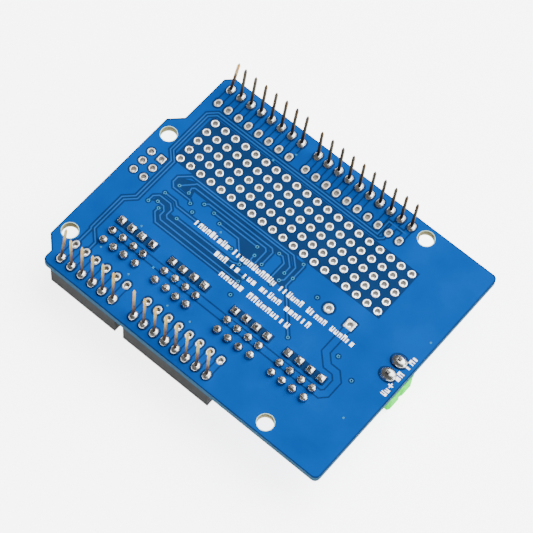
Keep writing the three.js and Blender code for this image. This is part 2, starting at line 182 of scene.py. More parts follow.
class Shader:
    """A node material under a Principled shader."""

    def __init__(self, name, roughness=0.5, metallic=0.0, **sockets):
        self.material = bpy.data.materials.new(name)
        self.material.use_nodes = True
        self.tree = self.material.node_tree
        self.principled = self.tree.nodes["Principled BSDF"]
        self.principled.inputs["Roughness"].default_value = roughness
        self.principled.inputs["Metallic"].default_value = metallic
        for socket, value in sockets.items():
            self.principled.inputs[socket.replace("_", " ")].default_value = value
        self.position = self.add("ShaderNodeTexCoord").outputs["Object"]

    def add(self, kind, **values):
        node = self.tree.nodes.new(kind)
        for name, value in values.items():
            setattr(node, name, value)
        return node

    def link(self, source, target):
        self.tree.links.new(source, target)

    def noise(self, size, detail=3.0, stretch=(1, 1, 1)):
        """A noise pattern whose patches are about size millimetres across."""
        mapping = self.add("ShaderNodeMapping")
        mapping.inputs["Scale"].default_value = stretch
        self.link(self.position, mapping.inputs["Vector"])
        noise = self.add("ShaderNodeTexNoise")
        noise.inputs["Scale"].default_value = 1 / (size * MM)
        noise.inputs["Detail"].default_value = detail
        self.link(mapping.outputs["Vector"], noise.inputs["Vector"])
        return noise.outputs["Fac"]

    def height(self, low, high):
        """0 at z = low and 1 at z = high, in millimetres."""
        split = self.add("ShaderNodeSeparateXYZ")
        self.link(self.position, split.inputs["Vector"])
        return self.map_range(split.outputs["Z"], low * MM, high * MM)

    def blur(self, fac, pattern, share):
        """Shifts a factor to and fro by a noise pattern."""
        node = self.add("ShaderNodeMath", operation="MULTIPLY_ADD")
        node.inputs[1].default_value = share
        self.link(pattern, node.inputs[0])
        self.link(fac, node.inputs[2])
        return node.outputs["Value"]

    def ramp(self, fac, stops):
        node = self.add("ShaderNodeValToRGB")
        elements = node.color_ramp.elements
        while len(elements) < len(stops):
            elements.new(0.5)
        for element, (place, colour) in zip(elements, stops):
            element.position = place
            element.color = (*colour, 1)
        self.link(fac, node.inputs["Fac"])
        return node.outputs["Color"]

    def two_tone(self, pattern, dark, light):
        """A colour that drifts between two tones with a noise pattern."""
        return self.ramp(pattern, [(NOISE_LOW, dark), (NOISE_HIGH, light)])

    def span(self, pattern, low, high):
        """A value that drifts between two limits with a noise pattern."""
        return self.map_range(pattern, NOISE_LOW, NOISE_HIGH, low, high)

    def map_range(self, source, from_low, from_high, to_low=0.0, to_high=1.0):
        node = self.add("ShaderNodeMapRange")
        limits = {"From Min": from_low, "From Max": from_high, "To Min": to_low, "To Max": to_high}
        for socket, value in limits.items():
            node.inputs[socket].default_value = value
        self.link(source, node.inputs["Value"])
        return node.outputs["Result"]

    def tint(self, colour, tint):
        """One colour multiplied by another. Sockets 6 and 7 are the node's two colour inputs."""
        node = self.add("ShaderNodeMix", data_type="RGBA", blend_type="MULTIPLY")
        node.inputs["Factor"].default_value = 1
        self.link(colour, node.inputs[6])
        self.link(tint, node.inputs[7])
        return node.outputs[2]

    def colour(self, output):
        self.link(output, self.principled.inputs["Base Color"])

    def rough(self, output):
        self.link(output, self.principled.inputs["Roughness"])

    def bump(self, output, height, strength=1.0):
        """A relief of height millimetres."""
        node = self.add("ShaderNodeBump")
        node.inputs["Strength"].default_value = strength
        node.inputs["Distance"].default_value = height * MM
        self.link(output, node.inputs["Height"])
        self.link(node.outputs["Normal"], self.principled.inputs["Normal"])


def shade(colour, factor):
    return tuple(min(1.0, channel * factor) for channel in colour)


def floor_material():
    """White paper, lit through from below as in a light tent."""
    shader = Shader("floor_paper", 0.9, Specular_IOR_Level=0.1, Emission_Strength=FLOOR_GLOW)
    shader.principled.inputs["Emission Color"].default_value = (1, 1, 1, 1)
    shader.colour(shader.two_tone(shader.noise(40, 2), (0.92, 0.92, 0.92), (0.94, 0.94, 0.94)))
    return shader.material


def mask_material(name, colour, roughness, deep=0.88):
    """Solder mask: a thin even ink with slow colour drift and a fine ripple."""
    shader = Shader(name, roughness, Specular_IOR_Level=0.002)
    shader.colour(shader.two_tone(shader.noise(9, 4), shade(colour, deep), shade(colour, 1.1)))
    shader.rough(shader.span(shader.noise(3, 3), roughness - 0.06, roughness + 0.08))
    shader.bump(shader.noise(0.5, 2), 0.006)
    return shader.material


def laminate_material(name, dark, light):
    """Sawn or drilled glass laminate, with its layers."""
    shader = Shader(name, 0.8, Specular_IOR_Level=0.01)
    layers = shader.noise(0.12, 2, stretch=(0.15, 0.15, 1.6))
    shader.colour(shader.two_tone(layers, dark, light))
    shader.bump(layers, 0.03)
    return shader.material


def metal_material(name, dark, light, roughness, grain, relief, metallic=1.0):
    shader = Shader(name, roughness, metallic)
    shader.colour(shader.two_tone(shader.noise(grain, 4), dark, light))
    shader.rough(shader.span(shader.noise(grain * 0.6, 3), roughness - 0.08, roughness + 0.12))
    shader.bump(shader.noise(grain * 0.5, 3), relief)
    return shader.material


def pin_material(name, stops, roughness, metallic):
    """Plated strip: its colour shifts from the board to the tip, dark near the board as painted shade, with
    streaks along the pin.
    """
    shader = Shader(name, roughness, metallic, Specular_IOR_Level=0.03)
    streaks = shader.noise(0.8, 3, stretch=(1, 1, 0.35))
    along = shader.height(SOLDER_FACE - 0.3, SOLDER_FACE + 13.5)
    # The plating ramp is dark near the board: painted shade.
    plating = shader.ramp(shader.blur(along, streaks, 0.4), stops)
    spots = shader.noise(0.45, 2, stretch=(1, 1, 0.2))
    tarnish = shader.ramp(spots, [(0.42, (1, 0.72, 0.5)), (0.52, (1, 1, 1))])
    shader.colour(shader.tint(plating, tarnish))
    shader.rough(shader.span(shader.noise(0.5, 3), roughness - 0.08, roughness + 0.14))
    shader.bump(shader.noise(0.3, 3), 0.008)
    return shader.material


def moulded_material(name, colour, roughness, grain, relief, gloss=0.4):
    """Moulded plastic: a fine matt grain and faint flow marks."""
    shader = Shader(name, roughness, Specular_IOR_Level=gloss)
    shader.colour(shader.two_tone(shader.noise(3, 4), shade(colour, 0.93), shade(colour, 1.07)))
    shader.rough(shader.span(shader.noise(grain * 3, 3), roughness - 0.08, roughness + 0.08))
    shader.bump(shader.noise(grain, 3), relief)
    return shader.material


MASK_BLUE = (0.0, 0.048, 0.244)
MASK_DARK = (0.006, 0.026, 0.088)
MASK_TRACE = (0.008, 0.070, 0.28)

# Pin finishes: the colour at each share of the way from the board to the tip, dark near the board as painted
# shade and rising to the plating's own colour at the tip.
DARK_PIN_STOPS = [(0.3, (0.034, 0.030, 0.028)), (0.5, (0.055, 0.050, 0.042)), (0.65, (0.100, 0.094, 0.068)),
                  (0.9, (0.120, 0.112, 0.080)), (1.0, (0.150, 0.130, 0.100))]
GILT_PIN_STOPS = [(0.3, (0.034, 0.030, 0.028)), (0.55, (0.06, 0.05, 0.04)), (0.68, (0.30, 0.22, 0.10)),
                  (0.85, (0.70, 0.56, 0.30)), (1.0, (0.60, 0.46, 0.24))]
GOLD_PIN_STOPS = [(0.3, (0.030, 0.024, 0.022)), (0.42, (0.042, 0.032, 0.028)), (0.54, (0.085, 0.068, 0.050)),
                  (0.66, (0.160, 0.135, 0.075)), (0.78, (0.300, 0.250, 0.100)), (0.9, (0.360, 0.300, 0.110)),
                  (1.0, (0.420, 0.300, 0.100))]

MATERIALS = {
    "pour": mask_material("mask_over_copper", MASK_BLUE, 0.38),
    "bare": mask_material("mask_over_laminate", MASK_DARK, 0.45, 0.8),
    "trace": mask_material("mask_over_traces", MASK_TRACE, 0.38),
    "laminate": laminate_material("laminate_edge", (0.010, 0.035, 0.064), (0.025, 0.066, 0.104)),
    "hole_wall": laminate_material("drilled_laminate", (0.14, 0.125, 0.06), (0.24, 0.21, 0.12)),
    "hole_rim": laminate_material("bare_laminate", (0.30, 0.48, 0.40), (0.42, 0.62, 0.52)),
    "tin": metal_material("tinned_pad", (0.55, 0.57, 0.58), (0.78, 0.81, 0.82), 0.34, 0.5, 0.012),
    "dull_tin": metal_material("dull_tinned_pad", (0.29, 0.30, 0.30), (0.49, 0.50, 0.50), 0.42, 0.5, 0.015),
    # The hole plating is darkened far below tin: painted shade inside the holes.
    "barrel": metal_material("plated_hole", (0.14, 0.12, 0.09), (0.24, 0.20, 0.15), 0.6, 0.4, 0.02, 0.2),
    "via": mask_material("mask_over_via", (0.028, 0.14, 0.28), 0.4),
    "solder": metal_material("solder", (0.28, 0.28, 0.27), (0.56, 0.56, 0.55), 0.22, 0.9, 0.001),
    "silkscreen": moulded_material("silkscreen_ink", (1.0, 1.0, 1.0), 0.6, 0.15, 0.006),
    "socket": moulded_material("socket_plastic", (0.027, 0.027, 0.0265), 0.7, 0.3, 0.012, 0.01),
    "dark_pin": pin_material("dark_pin", DARK_PIN_STOPS, 0.6, 0.0),
    "gilt_pin": pin_material("gilt_pin", GILT_PIN_STOPS, 0.5, 0.1),
    "gold_pin": pin_material("gold_pin", GOLD_PIN_STOPS, 0.5, 0.1),
    "header": moulded_material("header_plastic", (0.018, 0.018, 0.02), 0.5, 0.3, 0.01, 0.3),
    "header_pin": metal_material("header_pin", (0.26, 0.19, 0.09), (0.40, 0.31, 0.16), 0.3, 0.8, 0.008),
    # Cut pin ends: dull metal, near-black as a painted dark reflection in the middle of each solder joint.
    "stub": metal_material("cut_stub_painted_reflection", (0.022, 0.021, 0.020), (0.13, 0.12, 0.11), 0.45, 0.35, 0.012),
    "terminal": moulded_material("terminal_plastic", (0.010, 0.42, 0.018), 0.5, 0.35, 0.012, 0.005),
    "steel": metal_material("plated_steel", (0.55, 0.56, 0.58), (0.80, 0.81, 0.83), 0.3, 0.7, 0.012),
    "chip": moulded_material("chip_plastic", (0.02, 0.02, 0.022), 0.55, 0.12, 0.01),
    "button": moulded_material("button_plastic", (0.015, 0.015, 0.017), 0.45, 0.2, 0.008),
    "lens": moulded_material("light_lens", (0.80, 0.86, 0.78), 0.2, 0.4, 0.003),
    "ceramic": moulded_material("capacitor_ceramic", (0.36, 0.25, 0.15), 0.5, 0.2, 0.01),
}


# ---------------------------------------------------------------- mesh helpers


def to_object(name, bm, key=None):
    """Makes an object from a bmesh in millimetres, with its faces pointing out."""
    bmesh.ops.recalc_face_normals(bm, faces=bm.faces)
    bmesh.ops.scale(bm, vec=(MM, MM, MM), verts=bm.verts)
    mesh = bpy.data.meshes.new(name)
    bm.to_mesh(mesh)
    bm.free()
    if key:
        mesh.materials.append(MATERIALS[key])
    return add_object(name, mesh)


def add_piece(name, bm, key, angle=None, node=None, body="board", cutters=()):
    """Makes a piece, cuts it, smooths it up to an angle between faces, and fixes it to a body.

    Cutters that overlap come in separate groups, because one cut would leave walls between them.
    """
    piece = to_object(name, bm, key)
    for group in cutters:
        carve(piece, group)
    if angle is not None:
        piece.data.shade_smooth()
        piece.data.set_sharp_from_angle(angle=math.radians(angle))
    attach(piece, body)
    if node:
        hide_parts(node)


def rectangle(low_x, low_y, high_x, high_y):
    return [(low_x, low_y), (high_x, low_y), (high_x, high_y), (low_x, high_y)]


def around(x, y, half_x, half_y):
    """A rectangle about its centre."""
    return rectangle(x - half_x, y - half_y, x + half_x, y + half_y)


def inset(outline, depth):
    """The outline with every side moved inwards, mitred at its corners."""
    path = [Vector(point) for point in counter_clockwise(list(outline))]
    points = []
    for before, point, after in zip(path[-1:] + path[:-1], path, path[1:] + path[:1]):
        first, second = (point - before).normalized(), (after - point).normalized()
        normal = Vector((-first.y - second.y, first.x + second.x)).normalized()
        stretch = max(0.3, normal.dot(Vector((-first.y, first.x))))
        points.append(tuple(point + normal * depth / stretch))
    return points


def prism(bm, outline, low, high, chamfer=0.0):
    """An upright prism whose two rims are chamfered."""
    outline = counter_clockwise(list(outline))
    loops = [lift(outline, low + chamfer), lift(outline, high - chamfer)]
    if chamfer:
        small = inset(outline, chamfer)
        loops = [lift(small, low), *loops, lift(small, high)]
    skin(bm, loops)


def box_between(bm, low, high, chamfer=0.0):
    prism(bm, rectangle(low[0], low[1], high[0], high[1]), low[2], high[2], chamfer)


def paired_boxes(bm, x, y, half_x, near, far, low, high, chamfer):
    """Two boxes, one to each side of a place along Y."""
    for side in (-1, 1):
        edges = sorted((y + side * near, y + side * far))
        box_between(bm, (x - half_x, edges[0], low), (x + half_x, edges[1], high), chamfer)


def lathe(bm, x, y, profile, sides):
    """A solid of revolution about a line along Z, from (radius, z) points."""
    skin(bm, turned(x, y, profile, sides))


def side_strip(bm, outline, low, high):
    """An outline in Y and Z, extruded along X."""
    outline = counter_clockwise(list(outline))
    skin(bm, [[(x, y, z) for y, z in outline] for x in (low, high)])


def end_strip(bm, outline, low, high):
    """An outline in X and Z, extruded along Y."""
    outline = counter_clockwise(list(outline))
    skin(bm, [[(x, y, z) for x, z in outline] for y in (low, high)])


def carve(piece, group):
    """Cuts a group of closed cutters out of a piece."""
    cutter = to_object("cutter", group)
    cut = piece.modifiers.new("cut", "BOOLEAN")
    cut.operation = "DIFFERENCE"
    cut.solver = "MANIFOLD"
    cut.object = cutter
    graph = bpy.context.evaluated_depsgraph_get()
    finished = bpy.data.meshes.new_from_object(piece.evaluated_get(graph))
    piece.modifiers.clear()
    piece.data = finished
    bpy.data.objects.remove(cutter)


def ellipse(x, y, radius_x, radius_y, sides):
    angles = [TAU * step / sides for step in range(sides)]
    return [(x + radius_x * math.cos(angle), y + radius_y * math.sin(angle)) for angle in angles]


def circle(x, y, radius, sides):
    return ellipse(x, y, radius, radius, sides)


def turned(x, y, profile, sides, base=0.0, sign=1):
    """The rings of a solid of revolution, from (radius, height over the base) points."""
    return [lift(circle(x, y, radius, sides), base + sign * height) for radius, height in profile]


def stadium(x, y, half_width, half_length, sides):
    """A long pad's outline: two half circles joined along Y."""
    straight = half_length - half_width
    points = []
    for step in range(sides):
        angle = TAU * (step + 0.5) / sides
        end = straight if math.sin(angle) > 0 else -straight
        points.append((x + half_width * math.cos(angle), y + half_width * math.sin(angle) + end))
    return points


def rounded_square(x, y, half, corner, sides):
    """A square whose corners are cut back, with its points at even angles."""
    points = []
    for step in range(sides):
        angle = TAU * (step + 0.5) / sides
        across = max(abs(math.cos(angle)), abs(math.sin(angle)))
        diagonal = abs(math.cos(angle)) + abs(math.sin(angle))
        reach = min(half / across, (2 * half - 0.586 * corner) / diagonal)
        points.append((x + reach * math.cos(angle), y + reach * math.sin(angle)))
    return points


def join_rings(bm, rings):
    """Joins each ring of corners to the next."""
    count = len(rings[0])
    for lower, upper in zip(rings, rings[1:]):
        for step in range(count):
            after = (step + 1) % count
            bm.faces.new((lower[step], lower[after], upper[after], upper[step]))


def skin(bm, loops):
    """Joins loops of points, each with as many points as the next, into a closed skin."""
    rings = [[bm.verts.new(point) for point in loop] for loop in loops]
    join_rings(bm, rings)
    bm.faces.new(rings[0][::-1])
    bm.faces.new(rings[-1])


def closed_skin(bm, loops):
    """As skin, with the last loop joined back to the first: a ring-shaped solid."""
    rings = [[bm.verts.new(point) for point in loop] for loop in loops]
    join_rings(bm, rings + rings[:1])


def lift(outline, z):
    return [(x, y, z) for x, y in outline]


def band(points, half):
    """The outline of a mitred strip along a line of points, with blunt ends."""
    path = [Vector(point) for point in points]
    sides = []
    for index, point in enumerate(path):
        before = (point - path[index - 1]).normalized() if index else None
        after = (path[index + 1] - point).normalized() if index < len(path) - 1 else None
        along = ((before or after) + (after or before)).normalized()
        across = Vector((-along.y, along.x))
        stretch = 1 / max(0.5, across.dot(Vector((-(before or after).y, (before or after).x))))
        shift = across * half * stretch
        overrun = along * half * (0.6 if index and after is None else -0.6 if before is None else 0)
        sides.append((point + shift + overrun, point - shift + overrun))
    left = [tuple(side[0]) for side in sides]
    right = [tuple(side[1]) for side in sides]
    return right + left[::-1]


# ---------------------------------------------------------------- the board's footprint

MOUNTING_HOLES = [at(550, 100), at(600, 2000), at(2605, 309), at(2600, 1400)]
MOUNTING_HOLE_RADIUS = 1.6

# How wide the bare rim round a mounting hole is, and the radius of a plated hole.
MOUNTING_RIM = 0.15
DRILL = 0.5

# The rows of pins, and the rows of spare pads beside them, in mils.
DIGITAL_ROW, DIGITAL_SPARE_ROW = 2000, 1850
POWER_ROW, POWER_SPARE_ROW = 100, 250


def pin_names(row_name, first, last):
    return [f"{row_name}_pin_{number}" for number in range(first, last + 1)]


# Each header: its socket's node, its pins' nodes, the first pin's place, its pins' finish, and
# how far its pins' tips lean, in millimetres.
HEADERS = [
    ("digital_socket_8way", pin_names("digital", 1, 8), 2500, DIGITAL_ROW, "dark_pin", (0.38, 0.42)),
    ("digital_socket_10way", pin_names("digital", 9, 18), 1640, DIGITAL_ROW, "dark_pin", (0.2, 0.1)),
    ("analogue_socket_6way", pin_names("analogue", 1, 6), 2500, POWER_ROW, "gold_pin", (0, 0.5)),
    ("power_socket_8way", pin_names("power", 1, 8), 1800, POWER_ROW, "gold_pin", (0, 0.35)),
]
BENT_PINS = {"digital_pin_1": (1.15, 0.57), "analogue_pin_1": (0.48, 1.28), "analogue_pin_2": (0.03, 0.2)}
GROUND_PINS = [(1600, POWER_ROW), (1700, POWER_ROW), (1040, DIGITAL_ROW)]

# Each servo header's first column, how far its middle is past that, and its rows, in mils.
SERVO_FIRST_X = [2370, 1870, 1270, 770]
SERVO_MIDDLE = 150
SERVO_COLUMNS = 4
SERVO_GROUND_ROW, SERVO_SUPPLY_ROW, SERVO_SIGNAL_ROW = 415, 515, 615
SERVO_ROWS = (SERVO_GROUND_ROW, SERVO_SUPPLY_ROW, SERVO_SIGNAL_ROW)

# The middle of the terminal block in mils, and half the pitch of its poles in millimetres.
TERMINAL_PLACE = (130, 1027.5)
POLE_HALF = 1.75
TERMINAL_TAILS = [at(TERMINAL_PLACE[0], TERMINAL_PLACE[1] + side * POLE_HALF / MIL) for side in (-1, 1)]


def header_places():
    """Every stackable header pin: (pin node, finish, x mils, row mils, lean)."""
    for _, pins, first_x, row, finish, lean in HEADERS:
        for way, pin in enumerate(pins):
            yield pin, finish, first_x - PITCH * way, row, BENT_PINS.get(pin, lean)


def spare_row(row):
    return DIGITAL_SPARE_ROW if row == DIGITAL_ROW else POWER_SPARE_ROW


def servo_places(row):
    return [at(first - PITCH * column, row) for first in SERVO_FIRST_X for column in range(SERVO_COLUMNS)]


PIN_PADS = [at(x, row) for _, _, x, row, _ in header_places()]
SPARE_PADS = [at(x, spare_row(row)) for _, _, x, row, _ in header_places()]
GRID_PADS = [at(500 + PITCH * column, 1300 + PITCH * row) for column in range(20) for row in range(5)]
PROGRAMMING_PADS = [at(2500, 1000), at(2500, 1100), at(2600, 1000), at(2600, 1100), at(2600, 1200)]
PROGRAMMING_SQUARE = at(2500, 1200)
CAPACITOR_ROUND, CAPACITOR_SQUARE = at(781, 1083), at(581, 1083)

# The vias whose rings show, as millimetres from the same corner.
VIAS = to_frame([
    (53.2, 27.0), (57.2, 28.5), (54.85, 28.5), (51.1, 28.6), (48.5, 28.4), (37.85, 28.4),
    (46.3, 27.4), (51.7, 25.85), (58.2, 25.55), (59.5, 22.25), (58.05, 23.3), (57.0, 22.3),
    (53.0, 22.9), (35.7, 21.8), (35.9, 20.6), (37.2, 19.7), (37.1, 26.7), (34.9, 26.15),
    (33.9, 30.05), (30.6, 27.6), (30.4, 25.8), (29.05, 31.35), (28.7, 27.8), (21.7, 18.0),
    (35.2, 17.6), (22.8, 27.8), (12.35, 21.2), (7.5, 19.05), (37.4, 24.3), (31.0, 24.2),
    (38.0, 23.4), (41.3, 24.9),
])

# Vias that the mask closes.
TENTED_VIAS = to_frame([
    (56.87, 17.32), (49.55, 12.32), (52.05, 8.27), (59.62, 9.1), (42.44, 8.2), (44.94, 26.19),
    (1.3, 34.56), (4.0, 12.46), (44.98, 48.31), (47.49, 44.44), (37.2, 8.48),
])

# Half the width of a trace, of the supply bus and of a link from a pin to its spare pad, then the
# bare gap beside a trace, beside wider copper and round a pad.
TRACE_HALF = 0.14
BUS_HALF = 0.62
LINK_HALF = 0.5
TRACE_GAP = 0.34
WIDE_GAP = 0.3
PAD_GAP = 0.25

# Thin traces on the solder side: the two long ones round the board, then the fan-out.
SOLDER_TRACES = [
    [(18.8, 49.0), (22.75, 49.0), (22.75, 45.45), (62.0, 45.45), (63.65, 43.8), (63.65, 33.3),
     (61.9, 31.55), (61.9, 21.45), (63.75, 19.6), (63.75, 11.0), (63.5, 10.7), (63.5, 6.35)],
    [(21.34, 47.0), (21.34, 45.5), (22.05, 44.8), (61.75, 44.8), (63.05, 43.5), (63.05, 33.5),
     (61.25, 31.7), (61.25, 21.2), (63.1, 19.35), (63.1, 11.2), (60.96, 9.1), (60.96, 6.35)],
    [(53.2, 27.0), (53.75, 27.5), (57.8, 27.5), (58.65, 28.4), (58.65, 29.75), (56.7, 31.6),
     (31.6, 31.6), (29.7, 29.8), (29.7, 26.5), (30.4, 25.8)],
    [(57.2, 28.5), (55.3, 30.5), (54.9, 31.0), (32.5, 31.0), (30.6, 29.2), (30.6, 27.6)],
    [(54.85, 28.5), (55.1, 29.6), (54.6, 30.05), (35.55, 30.05), (34.9, 29.4), (34.9, 26.15)],
    [(51.1, 28.6), (50.4, 29.25), (36.5, 29.25), (36.0, 28.75), (36.0, 25.4), (37.4, 24.3)],
    [(48.5, 28.4), (37.85, 28.4)],
    [(46.3, 27.4), (41.6, 27.4), (38.4, 24.0), (38.0, 23.4)],
    [(58.2, 25.55), (55.5, 25.55), (54.7, 24.9), (41.3, 24.9)],
    [(59.5, 22.25), (59.5, 23.6), (58.6, 24.5), (55.9, 24.5), (54.9, 23.6), (54.9, 22.2),
     (54.4, 21.75), (35.7, 21.8)],
    [(58.05, 23.3), (56.6, 23.3), (55.8, 22.5), (55.8, 21.35), (55.1, 20.7), (35.9, 20.6)],
    [(57.0, 22.3), (57.0, 21.3), (55.5, 19.7), (37.2, 19.7)],
    [(53.0, 22.9), (39.3, 22.9), (38.0, 23.4)],
    [(37.1, 26.7), (37.1, 25.6), (36.0, 25.0)],
    [(33.9, 30.05), (33.0, 30.05), (31.9, 29.1), (31.9, 25.0), (31.0, 24.2)],
    [(29.05, 31.35), (28.7, 31.0), (28.7, 25.8), (27.4, 24.4), (22.1, 18.5), (21.7, 18.0)],
]

# The broad trace that brings the supply to the servo headers.
SUPPLY_BUS = [(14.66, 27.5), (14.66, 20.4), (12.7, 18.45), (10.65, 18.45), (9.35, 17.15),
              (9.35, 14.1), (10.25, 13.15), (60.3, 13.15)]

# Patches of bare laminate between traces that copper doesn't fill.
BARE_PATCHES = [
    [(62.2, 31.95), (62.2, 44.2), (11.5, 44.2), (11.5, 31.95)],
    [(55.3, 31.2), (58.2, 29.9), (58.3, 28.2), (53.8, 28.0), (54.4, 29.9)],
    [(54.6, 31.2), (54.6, 29.3), (35.5, 29.3), (31.8, 31.2)],
    [(50.0, 29.2), (48.5, 28.3), (41.4, 27.6), (38.4, 24.4), (36.2, 24.6), (36.2, 28.9)],
    [(36.2, 29.2), (35.0, 29.2), (34.8, 25.0), (36.2, 25.0)],
    [(31.8, 30.2), (29.8, 29.6), (28.8, 31.0), (28.8, 25.0), (31.8, 25.0)],
    [(31.6, 31.5), (29.2, 31.5), (29.2, 29.5)],
    [(59.2, 22.5), (58.5, 24.3), (55.7, 24.3), (55.0, 22.0), (36.0, 21.9), (36.0, 20.8),
     (55.0, 20.8), (56.2, 22.8), (58.0, 23.2)],
    [(55.4, 19.9), (56.8, 21.4), (56.0, 22.4), (55.6, 21.0), (54.8, 20.6), (37.0, 20.6), (37.0, 19.8)],
    [(54.6, 22.9), (39.6, 22.9), (36.0, 21.8), (54.2, 21.8)],
    [(63.4, 33.5), (63.4, 44.0), (62.0, 45.3), (22.6, 45.3), (22.6, 44.9), (61.8, 44.9), (63.1, 43.4),
     (63.1, 33.3)],
]

# Half the size of the bare strip along each servo header's signal row.
SERVO_STRIP_HALF = (4.95, 0.98)


def counter_clockwise(outline):
    twice_area = sum(a[0] * b[1] - b[0] * a[1] for a, b in zip(outline, outline[1:] + outline[:1]))
    return outline if twice_area > 0 else outline[::-1]


def board_outline(inset=0.0):
    """The board's edge, with three rounded corners."""
    rounded, sharp = 1.1, 0.0
    corners = [
        (0, 0, rounded), (0, 2100, rounded), (2540, 2100, sharp), (2600, 2040, sharp),
        (2600, 1590, sharp), (2700, 1490, sharp), (2700, 200, sharp), (2600, 100, sharp),
        (2600, 0, rounded),
    ]
    arc_steps = 6
    points = []
    for x, y, radius in corners:
        corner = Vector(at(x, y))
        inwards = Vector((math.copysign(1, -corner.x), math.copysign(1, -corner.y)))
        corner += inwards * inset
        if not radius:
            points.append(tuple(corner))
            continue
        middle = corner + inwards * radius
        arc = []
        for step in range(arc_steps + 1):
            angle = math.pi / 2 * step / arc_steps
            arc.append((middle.x - inwards.x * radius * math.cos(angle),
                        middle.y - inwards.y * radius * math.sin(angle)))
        if inwards.x * inwards.y < 0:
            arc.reverse()
        points.extend(arc)
    return counter_clockwise(points)


def drill_outlines(radius):
    drills = PIN_PADS + SPARE_PADS + GRID_PADS + PROGRAMMING_PADS + [PROGRAMMING_SQUARE]
    for row in SERVO_ROWS:
        drills += servo_places(row)
    drills += [CAPACITOR_ROUND, CAPACITOR_SQUARE]
    outlines = [circle(x, y, radius, 12) for x, y in drills]
    return outlines + [circle(x, y, radius + 0.15, 12) for x, y in TERMINAL_TAILS]


def pad_gap_outlines():
    """The clearances round the pads that the copper pour keeps away from."""
    outlines = [stadium(x, y, 0.83 + PAD_GAP, 1.08 + PAD_GAP, 24) for x, y in PIN_PADS + SPARE_PADS]
    outlines += [circle(x, y, 0.84 + PAD_GAP, 24) for x, y in GRID_PADS + PROGRAMMING_PADS]
    outlines.append(rounded_square(*PROGRAMMING_SQUARE, 0.85 + PAD_GAP, 0.1, 32))
    outlines.append(circle(*CAPACITOR_ROUND, 1.2 + PAD_GAP, 28))
    outlines.append(rounded_square(*CAPACITOR_SQUARE, 1.1 + PAD_GAP, 0.1, 32))
    outlines += [ellipse(x, y, 1.7 + PAD_GAP, 1.35 + PAD_GAP, 32) for x, y in TERMINAL_TAILS]
    return outlines + [circle(x, y, 0.62, 16) for x, y in VIAS]


def hole_regions(wall=0.09):
    """Every hole through the board, with room for the plating's wall."""
    outlines = drill_outlines(DRILL + wall)
    outlines += [circle(x, y, MOUNTING_HOLE_RADIUS + 0.01, 40) for x, y in MOUNTING_HOLES]
    outlines += [circle(x, y, 0.17, 10) for x, y in VIAS]
    return [("hole", outline) for outline in outlines]


def strip_regions(points, half, gap, kind):
    """A strip of copper, and the bare gap that keeps it apart."""
    return [("gap", band(points, half + gap)), (kind, band(points, half))]


def solder_side_regions():
    """Every outline on the solder side, with the kind of surface that it bounds."""
    regions = [("bare", board_outline()), ("pour", board_outline(POUR_INSET))]
    regions += [("patch", to_frame(patch)) for patch in BARE_PATCHES]
    regions += [("gap", outline) for outline in pad_gap_outlines()]
    for first in SERVO_FIRST_X:
        regions.append(("gap", around(*at(first - SERVO_MIDDLE, SERVO_SIGNAL_ROW), *SERVO_STRIP_HALF)))
    for trace in SOLDER_TRACES:
        regions += strip_regions(to_frame(trace), TRACE_HALF, TRACE_GAP, "trace")
    regions += strip_regions(to_frame(SUPPLY_BUS), BUS_HALF, WIDE_GAP, "trace_pour")
    for _, _, x, row, _ in header_places():
        if (x, row) not in GROUND_PINS:
            link = [at(x, row), at(x, spare_row(row))]
            regions += strip_regions(link, LINK_HALF, WIDE_GAP, "trace_pour")
    return regions + hole_regions()


# Which kind of surface wins where outlines overlap: the highest.
RANK = {"bare": 0, "pour": 1, "patch": 2, "gap": 3, "trace_pour": 4, "trace": 5, "hole": 6}
SURFACE_OF = {"bare": "bare", "patch": "bare", "gap": "bare", "pour": "pour", "trace_pour": "pour",
              "trace": "trace"}


def partition(regions):
    """Cuts the plane along every outline. Returns the points, and the triangles of each surface."""
    points = []
    faces = []
    for _, outline in regions:
        outline = counter_clockwise(list(outline))
        faces.append(list(range(len(points), len(points) + len(outline))))
        points.extend(Vector(point) for point in outline)
    corners, _, triangles, _, _, owners = delaunay_2d_cdt(points, [], faces, 1, 1e-5, True)
    surfaces = {}
    for triangle, owner in zip(triangles, owners):
        kinds = [regions[index][0] for index in owner]
        if "hole" in kinds or "bare" not in kinds:
            continue
        top = max(kinds, key=RANK.get)
        surfaces.setdefault(SURFACE_OF[top], []).append(triangle)
    return corners, surfaces


def slab(bm, corners, triangles, low, high):
    """Extrudes a set of triangles that share edges into a closed slab."""
    tops, bottoms, edges = {}, {}, {}
    for triangle in triangles:
        for corner in triangle:
            if corner not in tops:
                x, y = corners[corner]
                tops[corner] = bm.verts.new((x, y, high))
                bottoms[corner] = bm.verts.new((x, y, low))
        bm.faces.new([tops[corner] for corner in triangle])
        bm.faces.new([bottoms[corner] for corner in reversed(triangle)])
        for a, b in zip(triangle, triangle[1:] + triangle[:1]):
            edges[(a, b)] = edges.get((a, b), 0) + 1
    for a, b in edges:
        if (b, a) not in edges:
            bm.faces.new((tops[a], bottoms[a], bottoms[b], tops[b]))


def mask_layers(side, regions, base, sign):
    """The masked surfaces of one side, as thin slabs on the laminate core."""
    corners, surfaces = partition(regions)
    for surface, triangles in surfaces.items():
        outer = base - sign * (BARE_SINK if surface == "bare" else 0.0)
        low, high = sorted((base - sign * CORE_SKIN, outer))
        bm = bmesh.new()
        slab(bm, corners, triangles, low, high)
        add_piece(f"{side}_{surface}_mask", bm, surface)


def laminate_core():
    """The glass laminate, cut through by every hole."""
    corners, surfaces = partition([("bare", board_outline())] + hole_regions(0.03))
    bm = bmesh.new()
    slab(bm, corners, surfaces["bare"], COMPONENT_FACE + CORE_SKIN, SOLDER_FACE - CORE_SKIN)
    add_piece("laminate_core", bm, "laminate", node="circuit_board")


